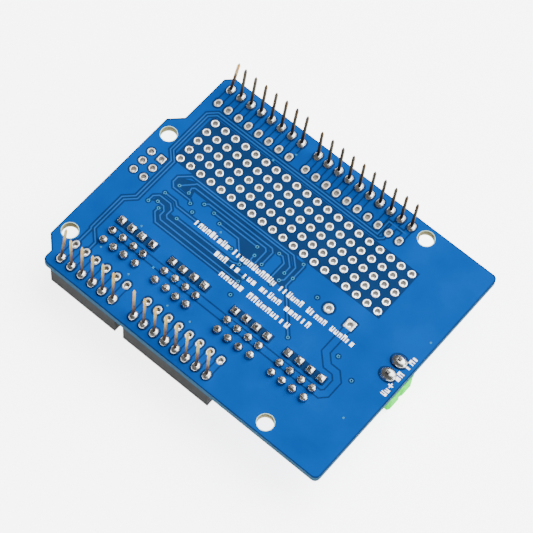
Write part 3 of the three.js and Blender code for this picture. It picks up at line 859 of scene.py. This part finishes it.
# ---------------------------------------------------------------- pads and plated holes

# A pad's section: (share of the way out from the drill to the edge, height over the face).
PAD_CROWN = [(1, -0.06), (1, 0.0), (0.88, 0.03), (0.5, 0.04), (0.12, 0.03), (0.0, 0.0), (0.0, -0.06)]


def spokes(outline):
    """An outline's middle, and the way and the distance from there to each of its points."""
    x, y = [sum(values) / len(outline) for values in zip(*outline)]
    rays = []
    for px, py in outline:
        reach = math.hypot(px - x, py - y)
        rays.append(((px - x) / reach, (py - y) / reach, reach))
    return x, y, rays


def pad_ring(bm, outer, drill, z, sign):
    """A tinned ring on one face: a low crown between the mask and the hole."""
    x, y, rays = spokes(outer)
    loops = []
    for share, height in PAD_CROWN:
        loop = []
        for away_x, away_y, reach in rays:
            radius = drill + (reach - drill) * share
            loop.append((x + away_x * radius, y + away_y * radius, z + sign * height))
        loops.append(loop)
    closed_skin(bm, loops)


def barrel(bm, x, y, drill):
    """The plating of a hole, from face to face, coloured dark as painted shade inside the hole."""
    low, high = COMPONENT_FACE - 0.01, SOLDER_FACE + 0.01
    outer = drill + 0.03
    closed_skin(bm, turned(x, y, [(outer, low), (outer, high), (drill, high), (drill, low)], 16))


def all_pads():
    """Every pad: (outline, drill radius, finish on the solder side)."""
    for x, y in SPARE_PADS:
        yield stadium(x, y, 0.70, 0.93, 24), DRILL, "dull_tin"
    for x, y in PIN_PADS:
        yield stadium(x, y, 0.78, 1.03, 24), DRILL, "tin"
    for x, y in GRID_PADS:
        yield circle(x, y, 0.82, 24), DRILL, "tin"
    for x, y in PROGRAMMING_PADS:
        yield circle(x, y, 0.82, 24), DRILL, "dull_tin"
    yield rounded_square(*PROGRAMMING_SQUARE, 0.8, 0.12, 40), DRILL, "dull_tin"
    yield circle(*CAPACITOR_ROUND, 1.0, 32), DRILL, "dull_tin"
    yield rounded_square(*CAPACITOR_SQUARE, 1.0, 0.12, 40), DRILL, "dull_tin"
    for row in (SERVO_GROUND_ROW, SERVO_SUPPLY_ROW):
        for x, y in servo_places(row):
            yield circle(x, y, 0.8, 24), DRILL, "tin"
    for x, y in servo_places(SERVO_SIGNAL_ROW):
        yield rounded_square(x, y, 0.76, 0.1, 32), DRILL, "tin"
    for x, y in TERMINAL_TAILS:
        yield ellipse(x, y, 1.5, 1.16, 28), DRILL + 0.12, "tin"


def pads_and_barrels():
    solder_side = {"tin": bmesh.new(), "dull_tin": bmesh.new()}
    component_side, barrels = bmesh.new(), bmesh.new()
    for outline, drill, finish in all_pads():
        pad_ring(solder_side[finish], outline, drill, SOLDER_FACE, 1)
        pad_ring(component_side, outline, drill, COMPONENT_FACE, -1)
        barrel(barrels, *spokes(outline)[:2], drill)
    for finish, bm in solder_side.items():
        add_piece(f"solder_side_pads_{finish}", bm, finish, 40)
    add_piece("component_side_pads", component_side, "tin", 40)
    add_piece("plated_holes", barrels, "barrel", 40)


def on_both_faces(places, profile, sides, join):
    """The same turned shape at every place on each face."""
    bm = bmesh.new()
    for x, y in places:
        for z, sign in BOTH_FACES:
            join(bm, turned(x, y, profile, sides, z, sign))
    return bm


def via_rings():
    """Small rings under the mask, with their holes open."""
    ring = [(0.36, -0.05), (0.36, 0.0), (0.3, 0.02), (0.2, 0.02), (0.15, 0.0), (0.15, -0.05)]
    add_piece("via_rings", on_both_faces(VIAS, ring, 16, closed_skin), "via", 40)


def tented_vias():
    """Small dimpled bumps where the mask closes a via."""
    bump = [(0.26, -0.03), (0.24, 0.01), (0.17, 0.03), (0.08, 0.02)]
    add_piece("tented_vias", on_both_faces(TENTED_VIAS, bump, 14, skin), "via", 50)


def mounting_hole_walls():
    """Each mounting hole's drilled wall, and the rim that the mask leaves bare."""
    bore = MOUNTING_HOLE_RADIUS
    wall = [(bore + 0.02, COMPONENT_FACE), (bore + 0.02, SOLDER_FACE),
            (bore, SOLDER_FACE - 0.03), (bore, COMPONENT_FACE + 0.03)]
    rim = [(bore + MOUNTING_RIM, -0.03), (bore + MOUNTING_RIM, 0.012), (bore + 0.005, 0.005),
           (bore + 0.005, -0.03)]
    walls = bmesh.new()
    for x, y in MOUNTING_HOLES:
        closed_skin(walls, turned(x, y, wall, 40))
    rims = on_both_faces(MOUNTING_HOLES, rim, 40, closed_skin)
    add_piece("mounting_hole_walls", walls, "hole_wall", 40)
    add_piece("mounting_hole_rims", rims, "hole_rim", 40)


# ---------------------------------------------------------------- silkscreen

# Half the thickness of the ink, and the height of the tallest mark.
INK = 0.02
TEXT_HEIGHT = 1.25


def ink(bm, outline, z, x=0, y=0):
    """A flat mark, from its outline about a place."""
    skin(bm, [lift([(x + a, y + b) for a, b in outline], z + offset) for offset in (-INK, INK)])


def word_marks(bm, x, y, length, words, seed, z=SOLDER_FACE, along_y=False):
    """A line of plain notched marks in word-long groups, from its start, where lettering would be."""
    dice = random.Random(seed)
    cell = length / (sum(words) + len(words) - 1)
    wide = cell * 0.72
    low = -TEXT_HEIGHT / 2
    run = 0
    for word in words:
        for _ in range(word):
            high = low + dice.choice((1.0, 0.74, 0.74, 0.86)) * TEXT_HEIGHT
            start = run * cell + cell * 0.1
            width = wide * dice.choice((1, 1, 1, 0.5))
            left, right = start + width * 0.32, start + width * 0.68
            depth = (high - low) * 0.6
            outline = rectangle(start, low, start + width, high)
            shape = dice.choice(("top", "foot", "top", "foot", "plain")) if width == wide else "plain"
            if shape == "top":
                outline[3:3] = [(right, high), (right, high - depth), (left, high - depth), (left, high)]
            elif shape == "foot":
                outline[1:1] = [(left, low), (left, low + depth), (right, low + depth), (right, low)]
            if along_y:
                outline = [(-b, a) for a, b in outline]
            ink(bm, outline, z, x, y)
            run += 1
        run += 1


def plus_sign(bm, x, y, reach, half, z):
    outline = [(half, half), (reach, half), (reach, -half), (half, -half), (half, -reach), (-half, -reach),
               (-half, -half), (-reach, -half), (-reach, half), (-half, half), (-half, reach), (half, reach)]
    ink(bm, outline, z, x, y)


def solder_side_silkscreen():
    bm = bmesh.new()
    word_marks(bm, *spot(49.9, 24.8), 38.4, (9, 11, 6, 5, 6), 11)
    word_marks(bm, *spot(43.0, 22.4), 23.0, (3, 2, 3, 5, 6), 12)
    word_marks(bm, *spot(39.6, 19.85), 16.8, (5, 9), 13)
    word_marks(bm, *spot(1.5, 20.6), 1.7, (2,), 14, along_y=True)
    plus_sign(bm, *spot(1.5, 23.0), 0.5, 0.13, SOLDER_FACE)
    word_marks(bm, *spot(1.5, 24.4), 2.1, (2,), 15, along_y=True)
    word_marks(bm, *spot(1.5, 27.5), 3.3, (3,), 16, along_y=True)
    add_piece("solder_side_silkscreen", bm, "silkscreen")


# ---------------------------------------------------------------- solder joints

# A solder joint's section: (share of the way out from the pin, share of its height).
FILLET = [(1.0, -0.05), (0.99, 0.08), (0.94, 0.28), (0.82, 0.52), (0.62, 0.74), (0.34, 0.92), (0.0, 1.0)]
CUSHION = [(1.0, -0.05), (0.995, 0.14), (0.96, 0.38), (0.86, 0.64), (0.68, 0.84), (0.4, 0.96), (0.0, 1.0)]


def solder_mound(bm, outline, pin_half, height, seed, wobble, profile):
    """A solder joint that climbs from a pad's outline to a pin, a little fuller on one side."""
    x, y, rays = spokes(outline)
    lean = random.Random(seed).uniform(0, TAU)
    lean_x, lean_y = wobble * math.cos(lean), wobble * math.sin(lean)
    loops = []
    for share, rise in profile:
        loop = []
        for away_x, away_y, reach in rays:
            fuller = 1 + 2 * (lean_x * away_x + lean_y * away_y) * rise * (1 - rise)
            radius = pin_half + (reach - pin_half) * share * fuller
            loop.append((
                x + away_x * radius + lean_x * rise,
                y + away_y * radius + lean_y * rise,
                SOLDER_FACE + rise * height,
            ))
        loops.append(loop)
    skin(bm, loops)


def joint_group(name, outlines, pin_half, heights, seed, wobble, profile=FILLET):
    """A mound on every outline, as high as a throw of the dice between two limits."""
    bm = bmesh.new()
    for index, outline in enumerate(outlines):
        height = random.Random(seed + index).uniform(*heights)
        solder_mound(bm, outline, pin_half, height, seed + 100 + index, wobble, profile)
    add_piece(f"{name}_solder_joints", bm, "solder", 60)


def solder_joints():
    header = [stadium(x, y, 0.86, 1.11, 48) for x, y in PIN_PADS]
    servo = [ellipse(x, y, 0.89, 0.88, 48) for row in SERVO_ROWS[:2] for x, y in servo_places(row)]
    servo += [rounded_square(x, y, 0.85, 0.2, 48) for x, y in servo_places(SERVO_SIGNAL_ROW)]
    terminal = [ellipse(x, y, 1.7, 1.34, 56) for x, y in TERMINAL_TAILS]
    joint_group("header", header, 0.26, (0.62, 0.85), 100, 0.07)
    joint_group("servo", servo, 0.2, (0.85, 1.1), 400, 0.12, CUSHION)
    joint_group("terminal", terminal, 0.45, (1.0, 1.0), 600, 0.2)


# ---------------------------------------------------------------- stackable headers

# The housing's chamfer, and half the size of the cavity for each contact.
SOCKET_CHAMFER = 0.14
CAVITY_HALF = (0.45, 0.9)


def socket_housing(node, count, first_x):
    """A housing with a funnel mouth, a contact cavity and a tail slot for each way."""
    low, high = box_mm(node)
    bm = bmesh.new()
    box_between(bm, low, high, SOCKET_CHAMFER)
    mouths, cavities, slots = bmesh.new(), bmesh.new(), bmesh.new()
    y = (low.y + high.y) / 2
    for way in range(count):
        x = at(first_x - PITCH * way, 0)[0]
        rim = around(x, y, 0.8, 0.8)
        throat = inset(rim, 0.35)
        funnel = [(rim, -0.1), (rim, 0.0), (throat, 0.35), (throat, 0.95)]
        skin(mouths, [lift(outline, low.z + height) for outline, height in funnel])
        prism(cavities, around(x, y, *CAVITY_HALF), low.z + 0.9, high.z - 1.2)
        prism(slots, around(x, y, 0.4, 0.4), high.z - 1.25, high.z + 0.1)
    for gap in range(count - 1):
        x = at(first_x - PITCH * gap - PITCH // 2, 0)[0]
        for edge in (low.y, high.y):
            prism(slots, around(x, edge, 0.45, 0.14), high.z - 0.3, high.z + 0.1)
    add_piece(f"{node}_housing", bm, "socket", 30, node, cutters=(mouths, cavities, slots))


# Half the strip's width and thickness, the length of its tapered tip, and a spring leaf's section:
# (distance from the pin's middle, height).
PIN_HALF = {"dark_pin": (0.28, 0.21), "gold_pin": (0.25, 0.18)}
PIN_TAPER = 0.7
CONTACT_LEAF = [(0.74, 7.1), (0.74, 4.5), (0.42, 2.2), (0.62, 1.2), (0.5, 1.15), (0.28, 2.2), (0.6, 4.5),
                (0.6, 7.1)]


def flat_section(x, y, half_x, half_y, corner):
    """A rectangle with its corners cut off."""
    points = []
    for sign_x, sign_y in ((1, 1), (-1, 1), (-1, -1), (1, -1)):
        ends = [(half_x, half_y - corner), (half_x - corner, half_y)]
        if sign_x * sign_y < 0:
            ends.reverse()
        points += [(x + sign_x * px, y + sign_y * py) for px, py in ends]
    return points


# The pins whose tips are worn down to the gold.
GILT_PINS = ("digital_pin_1",)


def header_pin(node, finish, x, y, lean):
    """A stamped contact: two spring leaves in the socket, and a flat tail with a tapered tip."""
    tip = box_mm(node)[1].z
    foot = SOLDER_FACE + 0.4
    half_x, half_y = PIN_HALF[finish]
    bm = bmesh.new()
    for side in (-1, 1):
        side_strip(bm, [(y + side * leaf_y, z) for leaf_y, z in CONTACT_LEAF], x - 0.3, x + 0.3)
    prism(bm, around(x, y, 0.3, 0.74), 6.85, 7.1)
    loops = [lift(flat_section(x, y, half_x, half_y, 0.05), 7.0)]
    for share, size in ((0, 1), (0.5, 1), (1 - PIN_TAPER / (tip - foot), 1), (1, 0.45)):
        middle_x, middle_y = x + lean[0] * share, y + lean[1] * share
        section = flat_section(middle_x, middle_y, half_x * size, half_y * size, 0.05 * size)
        loops.append(lift(section, foot + (tip - foot) * share))
    skin(bm, loops)
    look = "gilt_pin" if node in GILT_PINS else finish
    add_piece(f"{node}_strip", bm, look, 35, node)


def stackable_headers():
    for node, pins, first_x, _, _, _ in HEADERS:
        socket_housing(node, len(pins), first_x)
    for pin, finish, x, row, lean in header_places():
        header_pin(pin, finish, *at(x, row), lean)


# ---------------------------------------------------------------- servo headers

# Half the side of a square pin, the pitch, and how far a cut stub stands over the solder side.
SERVO_PIN_HALF = 0.32
SERVO_CELL = 2.54
STUB_HEIGHT = 1.3


def header_outline(low_x, low_y):
    """The outline of one row's moulded strip, with its corners cut off at every pin."""
    notch, columns = 0.45, SERVO_COLUMNS
    points = []
    sides = [((0, 0), (1, 0), columns), ((columns, 0), (0, 1), 1),
             ((columns, 1), (-1, 0), columns), ((0, 1), (0, -1), 1)]
    for start, along, cells in sides:
        for cell in range(cells):
            steps = [(cell * SERVO_CELL + notch, 0), ((cell + 1) * SERVO_CELL - notch, 0)]
            if cell < cells - 1:
                steps.append(((cell + 1) * SERVO_CELL, notch))
            for run, depth in steps:
                points.append((
                    low_x + start[0] * SERVO_CELL + along[0] * run - along[1] * depth,
                    low_y + start[1] * SERVO_CELL + along[1] * run + along[0] * depth,
                ))
    return points


def servo_header(number, first_x):
    """A moulded block with twelve square pins, their solder ends cut to short stubs."""
    node = f"servo_header_{number}"
    low = box_mm(node)[0]
    block, pins, stubs = bmesh.new(), bmesh.new(), bmesh.new()
    for row in range(len(SERVO_ROWS)):
        outline = header_outline(low.x, low.y + row * SERVO_CELL)
        prism(block, outline, COMPONENT_FACE - SERVO_CELL, COMPONENT_FACE - 0.02, 0.1)
    dice = random.Random(40 + number)
    half = SERVO_PIN_HALF
    for column in range(SERVO_COLUMNS):
        for row in SERVO_ROWS:
            x, y = at(first_x - PITCH * column, row)
            profile = [(0.13, low.z), (half, low.z + 0.5), (half, SOLDER_FACE + 0.3)]
            skin(pins, [lift(flat_section(x, y, size, size, 0.06), z) for size, z in profile])
            top = SOLDER_FACE + STUB_HEIGHT - dice.uniform(0, 0.25)
            tilt = dice.uniform(-0.12, 0.12)
            section = flat_section(x, y, half * 0.96, half * 0.96, 0.06)
            crown = flat_section(x, y, half * 0.8, half * 0.8, 0.1)
            crown = [(px, py, top + tilt * (px - x) / half) for px, py in crown]
            skin(stubs, [lift(section, SOLDER_FACE + 0.2), lift(section, top - 0.2), crown])
    add_piece(f"{node}_block", block, "header", 30, node)
    add_piece(f"{node}_pins", pins, "header_pin", 35)
    # The stubs are near-black as a painted dark reflection, while the same pins under the board are brass.
    add_piece(f"{node}_stubs", stubs, "stub", 35)


# ---------------------------------------------------------------- power terminal block

TERMINAL_X, TERMINAL_Y = at(*TERMINAL_PLACE)
SCREW_X = TERMINAL_X - 0.4
POLES = (TERMINAL_Y - POLE_HALF, TERMINAL_Y + POLE_HALF)


def terminal_housing():
    """A green moulding: a sloped screw face, a wire mouth and a screw bore for each pole."""
    low, high = box_mm("terminal_housing")
    outer, inner = high.x, low.x
    profile = [(inner, high.z), (inner, 1.6), (inner + 1, low.z), (outer - 0.4, low.z), (outer, low.z + 0.5),
               (outer, high.z)]
    small = inset(profile, 0.12)
    profile = counter_clockwise(profile)
    sections = [(low.y, small), (low.y + 0.12, profile), (high.y - 0.12, profile), (high.y, small)]
    bm = bmesh.new()
    skin(bm, [[(x, y, z) for x, z in section] for y, section in sections])
    bores, cavities, mouths, grooves = bmesh.new(), bmesh.new(), bmesh.new(), bmesh.new()
    bore = [(1.55, low.z - 1), (1.55, low.z), (1.4, low.z + 0.2), (1.4, 1.8), (1.05, 1.8), (1.05, 2.2)]
    for y in POLES:
        lathe(bores, SCREW_X, y, bore, 32)
        back, front = TERMINAL_X - 2.6, TERMINAL_X + 1.5
        box_between(cavities, (back, y - 1.35, 2.05), (front, y + 1.35, COMPONENT_FACE + 1))
        mouth = rectangle(y - 1.2, 5.3, y + 1.2, 7.3)
        wide = inset(mouth, -0.2)
        funnel = [(outer + 0.5, wide), (outer, wide), (outer - 0.3, mouth), (TERMINAL_X + 1.4, mouth)]
        skin(mouths, [[(x, a, b) for a, b in section] for x, section in funnel])
    for y in POLES:
        for step in (-0.7, 0, 0.7):
            box_between(mouths, (inner - 0.5, y + step - 0.15, 3), (inner + 0.15, y + step + 0.15, 7))
    for y, half, depth in ((low.y, 0.5, 0.4), (TERMINAL_Y, 0.7, 0.5), (high.y, 0.5, 0.4)):
        notch = [(outer + 0.1, y - half), (outer + 0.1, y + half), (outer - depth, y)]
        prism(grooves, notch, low.z - 1, 4.7)
    add_piece("terminal_moulding", bm, "terminal", 35, "terminal_housing",
              cutters=(bores, cavities, mouths, grooves))


def terminal_screw(number, y):
    """A slotted screw with a rounded head and a plain shank under thread ridges."""
    head = [(0.95, 0.5), (1.15, 0.53), (1.26, 0.62), (1.3, 0.76), (1.3, 1.66), (1.25, 1.72), (0.95, 1.76)]
    bm, slot = bmesh.new(), bmesh.new()
    lathe(bm, SCREW_X, y, head, 40)
    for step in range(9):
        z = 1.85 + 0.3 * step
        lathe(bm, SCREW_X, y, [(0.8, z - 0.12), (0.94, z + 0.03), (0.94, z + 0.07), (0.8, z + 0.2)], 28)
    lathe(bm, SCREW_X, y, [(0.82, 1.7), (0.82, 4.55), (0.66, 4.8)], 28)
    prism(slot, around(SCREW_X, y, 2, 0.22), 0, 1.05)
    add_piece(f"terminal_screw_{number}_steel", bm, "steel", 35, f"terminal_screw_{number}",
              f"screw_{number}", (slot,))


def clamp_cage(number):
    """A folded steel cage, open along the wire, with a tapped plate."""
    node = f"clamp_cage_{number}"
    low, high = box_mm(node)
    x, y = (low.x + high.x) / 2, (low.y + high.y) / 2
    bm, window, thread = bmesh.new(), bmesh.new(), bmesh.new()
    box_between(bm, low, high, 0.12)
    box_between(window, (low.x - 1, y - 1.02, low.z + 0.8), (high.x + 1, y + 1.02, high.z - 0.4))
    lathe(thread, x, y, [(1.05, low.z - 1), (1.05, low.z), (0.98, low.z + 0.1), (0.98, low.z + 1)], 28)
    add_piece(f"{node}_steel", bm, "steel", 35, node, f"clamp_{number}", (window, thread))


def terminal_tail(number, y):
    """A folded contact: a plate under the wire, a back leg, a foot and the solder tail."""
    x = TERMINAL_X
    fold = [(1.2, 4.9), (1.2, 5.3), (-2.0, 5.3), (-2.1, 5.4), (-2.1, 7.7), (-2.0, 7.8), (0.45, 7.8),
            (0.45, 8.2), (-2.3, 8.2), (-2.5, 8.0), (-2.5, 5.1), (-2.3, 4.9)]
    bm = bmesh.new()
    end_strip(bm, [(x + run, z) for run, z in fold], y - 0.8, y + 0.8)
    top = SOLDER_FACE + STUB_HEIGHT
    loops = [(0.4, 7.9), (0.4, top - 0.3), (0.22, top)]
    skin(bm, [lift(flat_section(x, y, half, half, 0.06), z) for half, z in loops])
    node = f"terminal_tail_{number}"
    # The tail's stub finish is near-black: a painted dark reflection.
    add_piece(f"{node}_strip", bm, "stub", 35, node)


def terminal_block():
    terminal_housing()
    for index, y in enumerate(POLES):
        terminal_screw(index + 1, y)
        clamp_cage(index + 1)
        terminal_tail(index + 1, y)


# ---------------------------------------------------------------- reset switch

RESET_X, RESET_Y = at(300, 1740)


def reset_switch():
    x, y = RESET_X, RESET_Y
    low, high = box_mm("reset_switch_base")
    base, well = bmesh.new(), bmesh.new()
    prism(base, flat_section(x, y, 3, 3, 0.5), low.z, high.z, 0.1)
    lathe(well, x, y, [(2.3, low.z - 1), (2.3, 7.9)], 40)
    add_piece("reset_base_moulding", base, "chip", 35, "reset_switch_base", cutters=(well,))
    bend = [(2.9, -0.6), (3.3, -0.6), (3.6, -0.2), (4.4, -0.2), (4.4, 0), (3.5, 0), (3.2, -0.4), (2.9, -0.4)]
    leads = bmesh.new()
    for side in (-1, 1):
        for lead_y in (y - 2.2, y + 2.2):
            outline = [(x + side * run, high.z + rise) for run, rise in bend]
            end_strip(leads, outline, lead_y - 0.35, lead_y + 0.35)
    add_piece("reset_switch_leads", leads, "tin", 35)
    crown = [(0.15, 7.36), (0.8, 7.42), (1.5, 7.6), (2.1, 7.85)]
    dome = bmesh.new()
    lathe(dome, x, y, crown + [(radius, z + 0.04) for radius, z in reversed(crown)], 36)
    add_piece("reset_snap_dome", dome, "steel", 35, "reset_switch_dome")
    reset_cover(x, y)
    cap = [(1.35, 4.2), (1.55, 4.23), (1.67, 4.32), (1.7, 4.45), (1.7, 5.57), (2.1, 5.57), (2.1, 6.3),
           (0.8, 6.5), (0.8, 6.9), (0.7, 7.0)]
    button = bmesh.new()
    lathe(button, x, y, cap, 44)
    add_piece("reset_button_cap", button, "button", 35, "reset_button", "button")


def reset_cover(x, y):
    """A thin steel cover with a hole for the button, two side clips and four staked corners."""
    low = box_mm("reset_switch_cover")[0]
    cover, hole, stakes = bmesh.new(), bmesh.new(), bmesh.new()
    prism(cover, flat_section(x, y, 3, 3.25, 0.35), low.z, low.z + 0.25, 0.05)
    paired_boxes(cover, x, y, 1.2, 3.05, 3.25, low.z + 0.1, 7.6, 0.04)
    lathe(hole, x, y, [(1.85, low.z - 1), (1.85, low.z + 1)], 40)
    add_piece("reset_cover_steel", cover, "steel", 35, "reset_switch_cover", cutters=(hole,))
    stake = [(0.25, low.z - 0.06), (0.36, low.z), (0.36, low.z + 0.1)]
    for side_x in (-2.35, 2.35):
        for side_y in (-2.35, 2.35):
            lathe(stakes, x + side_x, y + side_y, stake, 16)
    add_piece("reset_cover_stakes", stakes, "chip", 35)


# ---------------------------------------------------------------- surface-mounted parts

# How thick the leads are, and each part's place, its leads along a side and their pitch.
GULL_WING = 0.16
DRIVER_CHIP, CHIP_LEADS, CHIP_PITCH = at(1950, 1000), 14, 0.65
TRANSISTOR, TRANSISTOR_LEADS, TRANSISTOR_PITCH = at(245, 620), 4, 1.27
POWER_LIGHT, BYPASS = at(130, 1330), at(1560, 1000)
ARRAY_PITCH = 0.8
ARRAYS = [at(first - SERVO_MIDDLE, 745) for first in SERVO_FIRST_X]


def in_a_row(x, count, pitch):
    """The places along X of a row that is centred on x."""
    return [x + (step - (count - 1) / 2) * pitch for step in range(count)]


def leaded_package(node, x, y, length, width, low, high, leads, pitch, lead_width, span):
    """A moulded package with drafted sides, a pin-one dimple and gull-wing leads."""
    middle = (low + high) / 2
    body, dimple, tips = bmesh.new(), bmesh.new(), bmesh.new()
    waist = around(x, y, length / 2, width / 2)
    skin(body, [lift(inset(waist, 0.22), low), lift(inset(waist, 0.16), low + 0.05),
                lift(waist, middle - 0.08), lift(waist, middle + 0.08), lift(inset(waist, 0.14), high)])
    lathe(dimple, x - length / 2 + 0.85, y - width / 2 + 0.85, [(0.3, low - 1), (0.3, low + 0.12)], 20)
    add_piece(f"{node}_body", body, "chip", 30, node, cutters=(dimple,))
    root, toe = width / 2 - 0.2, span / 2
    upper, lower = middle - GULL_WING / 2, middle + GULL_WING / 2
    wing = [(root, upper), (toe - 0.62, upper), (toe - 0.52, SEAT - GULL_WING), (toe, SEAT - GULL_WING),
            (toe, SEAT), (toe - 0.65, SEAT), (toe - 0.78, lower), (root, lower)]
    for lead_x in in_a_row(x, leads, pitch):
        for side in (-1, 1):
            outline = [(y + side * run, z) for run, z in wing]
            side_strip(tips, outline, lead_x - lead_width / 2, lead_x + lead_width / 2)
    add_piece(f"{node}_leads", tips, "tin", 35)


def resistor_arrays():
    ends = bmesh.new()
    for index, (x, y) in enumerate(ARRAYS):
        node = f"resistor_array_{index + 1}"
        body = bmesh.new()
        prism(body, around(x, y, 1.6, 0.7), 7.95, 8.48, 0.05)
        add_piece(f"{node}_body", body, "chip", 30, node)
        for way_x in in_a_row(x, SERVO_COLUMNS, ARRAY_PITCH):
            paired_boxes(ends, way_x, y, 0.24, 0.5, 0.82, 7.92, 8.47, 0.04)
    add_piece("resistor_array_ends", ends, "tin", 30)


def two_ended_chip(node, x, y, length, width, height, cap, key, slot, crowned):
    """A chip along Y: a body between two tinned ends."""
    body, ends = bmesh.new(), bmesh.new()
    half_x, half_y = width / 2 - 0.03, length / 2 - 0.1
    top = SEAT - height + 0.03
    if crowned:
        prism(body, around(x, y, half_x, half_y), SEAT - 0.25, SEAT)
        dome = flat_section(x, y, half_x, half_y - cap + 0.1, 0.15)
        skin(body, [lift(inset(dome, 0.22), top), lift(inset(dome, 0.07), SEAT - height + 0.1),
                    lift(dome, SEAT - height + 0.3), lift(dome, SEAT - 0.2)])
    else:
        prism(body, around(x, y, half_x, half_y), top, SEAT, 0.08)
    add_piece(f"{node}_body", body, key, 35, node)
    tall = 0.3 if crowned else height
    paired_boxes(ends, x, y, width / 2, length / 2 - cap, length / 2, SEAT - tall, SEAT, 0.06)
    add_piece(f"{node}_ends", ends, "tin", 35)


def surface_mounted_parts():
    leaded_package("driver_chip", *DRIVER_CHIP, 9.7, 4.4, 7.35, 8.38, CHIP_LEADS, CHIP_PITCH, 0.24, 6.4)
    leaded_package("supply_transistor", *TRANSISTOR, 4.9, 3.9, 6.95, 8.36, TRANSISTOR_LEADS,
                   TRANSISTOR_PITCH, 0.42, 6)
    resistor_arrays()
    two_ended_chip("power_light", *POWER_LIGHT, 2, 1.25, 0.8, 0.4, "lens", "light_lens", True)
    two_ended_chip("bypass_capacitor", *BYPASS, 3.2, 1.6, 1.5, 0.5, "ceramic", "capacitor_body", False)


# ---------------------------------------------------------------- component side

# How far a soldered pad stands out of the component side.
LAND = 0.03


def component_traces():
    """Traces from each servo signal pin to its resistor, and from there to the driver chip.

    The first eight channels come to the chip's near side and the others go round its end. Each has
    its own lane. Places are in mils.
    """
    chip_x, chip_y = 1950, 1000
    lane_step = 22
    traces = []
    for channel in range(SERVO_COLUMNS * len(SERVO_FIRST_X)):
        first = SERVO_FIRST_X[channel // SERVO_COLUMNS]
        way, lane = channel % SERVO_COLUMNS, channel % 8 * lane_step
        array_x = first - SERVO_MIDDLE + (1.5 - way) * ARRAY_PITCH / MIL
        lead_x = chip_x + (4.5 - channel % 8) * CHIP_PITCH / MIL
        traces.append([(first - PITCH * way, SERVO_SIGNAL_ROW), (first - PITCH * way, 680), (array_x, 715)])
        if channel < 8:
            route = [(array_x, 835 + lane), (lead_x, 835 + lane), (lead_x, chip_y - 115)]
        else:
            side = 1420 - lane
            route = [(array_x, 850 + lane), (side, 850 + lane), (side, 1180 + lane), (lead_x, 1180 + lane),
                     (lead_x, chip_y + 115)]
        traces.append([(array_x, 775), *route])
    return [[at(*point) for point in trace] for trace in traces]


def lands():
    """The surface-mounted parts' pads on the component side, as rectangles."""
    for (x, y), leads, pitch, reach, half in (
            (DRIVER_CHIP, CHIP_LEADS, CHIP_PITCH, 2.95, (0.18, 0.6)),
            (TRANSISTOR, TRANSISTOR_LEADS, TRANSISTOR_PITCH, 2.75, (0.3, 0.7)),
            *((place, SERVO_COLUMNS, ARRAY_PITCH, 0.85, (0.25, 0.4)) for place in ARRAYS),
            (POWER_LIGHT, 1, 0, 0.95, (0.7, 0.5)),
            (BYPASS, 1, 0, 1.5, (0.85, 0.5)),
    ):
        for lead_x in in_a_row(x, leads, pitch):
            for side in (-1, 1):
                yield around(lead_x, y + side * reach, *half)
    for side_x in (-1, 1):
        for side_y in (-2.2, 2.2):
            yield around(RESET_X + side_x * 4.1, RESET_Y + side_y, 0.8, 0.6)


def component_side_regions():
    regions = [("bare", board_outline()), ("pour", board_outline(POUR_INSET))]
    regions += [("gap", outline) for outline in pad_gap_outlines()]
    regions += [("gap", inset(outline, -0.25)) for outline in lands()]
    for row in SERVO_ROWS:
        regions += [("gap", circle(x, y, 1.08, 20)) for x, y in servo_places(row)]
    for trace in component_traces():
        regions += strip_regions(trace, TRACE_HALF, 0.2, "trace")
    return regions + hole_regions()


def component_side():
    mask_layers("component_side", component_side_regions(), COMPONENT_FACE, -1)
    pads, marks = bmesh.new(), bmesh.new()
    for outline in lands():
        prism(pads, outline, COMPONENT_FACE - LAND, COMPONENT_FACE + 0.05)
    add_piece("component_side_lands", pads, "tin")
    frames = [(DRIVER_CHIP, 5.3, 2.1), (TRANSISTOR, 2.9, 1.7), ((RESET_X, RESET_Y), 3.3, 3.6)]
    frames += [(at(first - SERVO_MIDDLE, 515), 5.4, 4.1) for first in SERVO_FIRST_X]
    frames += [((TERMINAL_X - 0.7, TERMINAL_Y), 3.7, 3.7)]
    for (x, y), half_x, half_y in frames:
        corners = around(x, y, half_x, half_y)
        for start, end in zip(corners, corners[1:] + corners[:1]):
            ink(marks, band([start, end], 0.08), COMPONENT_FACE)
    for x, y in servo_places(340):
        ink(marks, band([(x, y - 0.4), (x, y + 0.4)], 0.12), COMPONENT_FACE)
    word_marks(marks, *at(2300, 1230), 22, (5, 4, 6), 21, COMPONENT_FACE)
    add_piece("component_side_silkscreen", marks, "silkscreen")


# ---------------------------------------------------------------- assembly

add_camera()
add_world()
for soft_light in SOFT_LIGHTS:
    add_soft_light(*soft_light)
add_floor()

laminate_core()
mask_layers("solder_side", solder_side_regions(), SOLDER_FACE, 1)
pads_and_barrels()
via_rings()
mounting_hole_walls()
tented_vias()
solder_side_silkscreen()
component_side()
solder_joints()
stackable_headers()
for index, first in enumerate(SERVO_FIRST_X):
    servo_header(index + 1, first)
terminal_block()
reset_switch()
surface_mounted_parts()

FINISH_OF_SLOT = {
    "socket_plastic": "socket", "dark_pin": "dark_pin", "gold_pin": "gold_pin",
    "header_plastic": "header", "terminal_plastic": "terminal", "plated_steel": "steel",
    "tinned_brass": "tin", "chip_plastic": "chip", "button_plastic": "button",
    "light_lens": "lens", "capacitor_body": "ceramic", "board_mask": "pour",
}
for part in frame["record"]["subparts"]:
    node = frame["nodes"][part["node"]]
    node.data.materials.clear()
    node.data.materials.append(MATERIALS[FINISH_OF_SLOT[part["material_slot"]]])
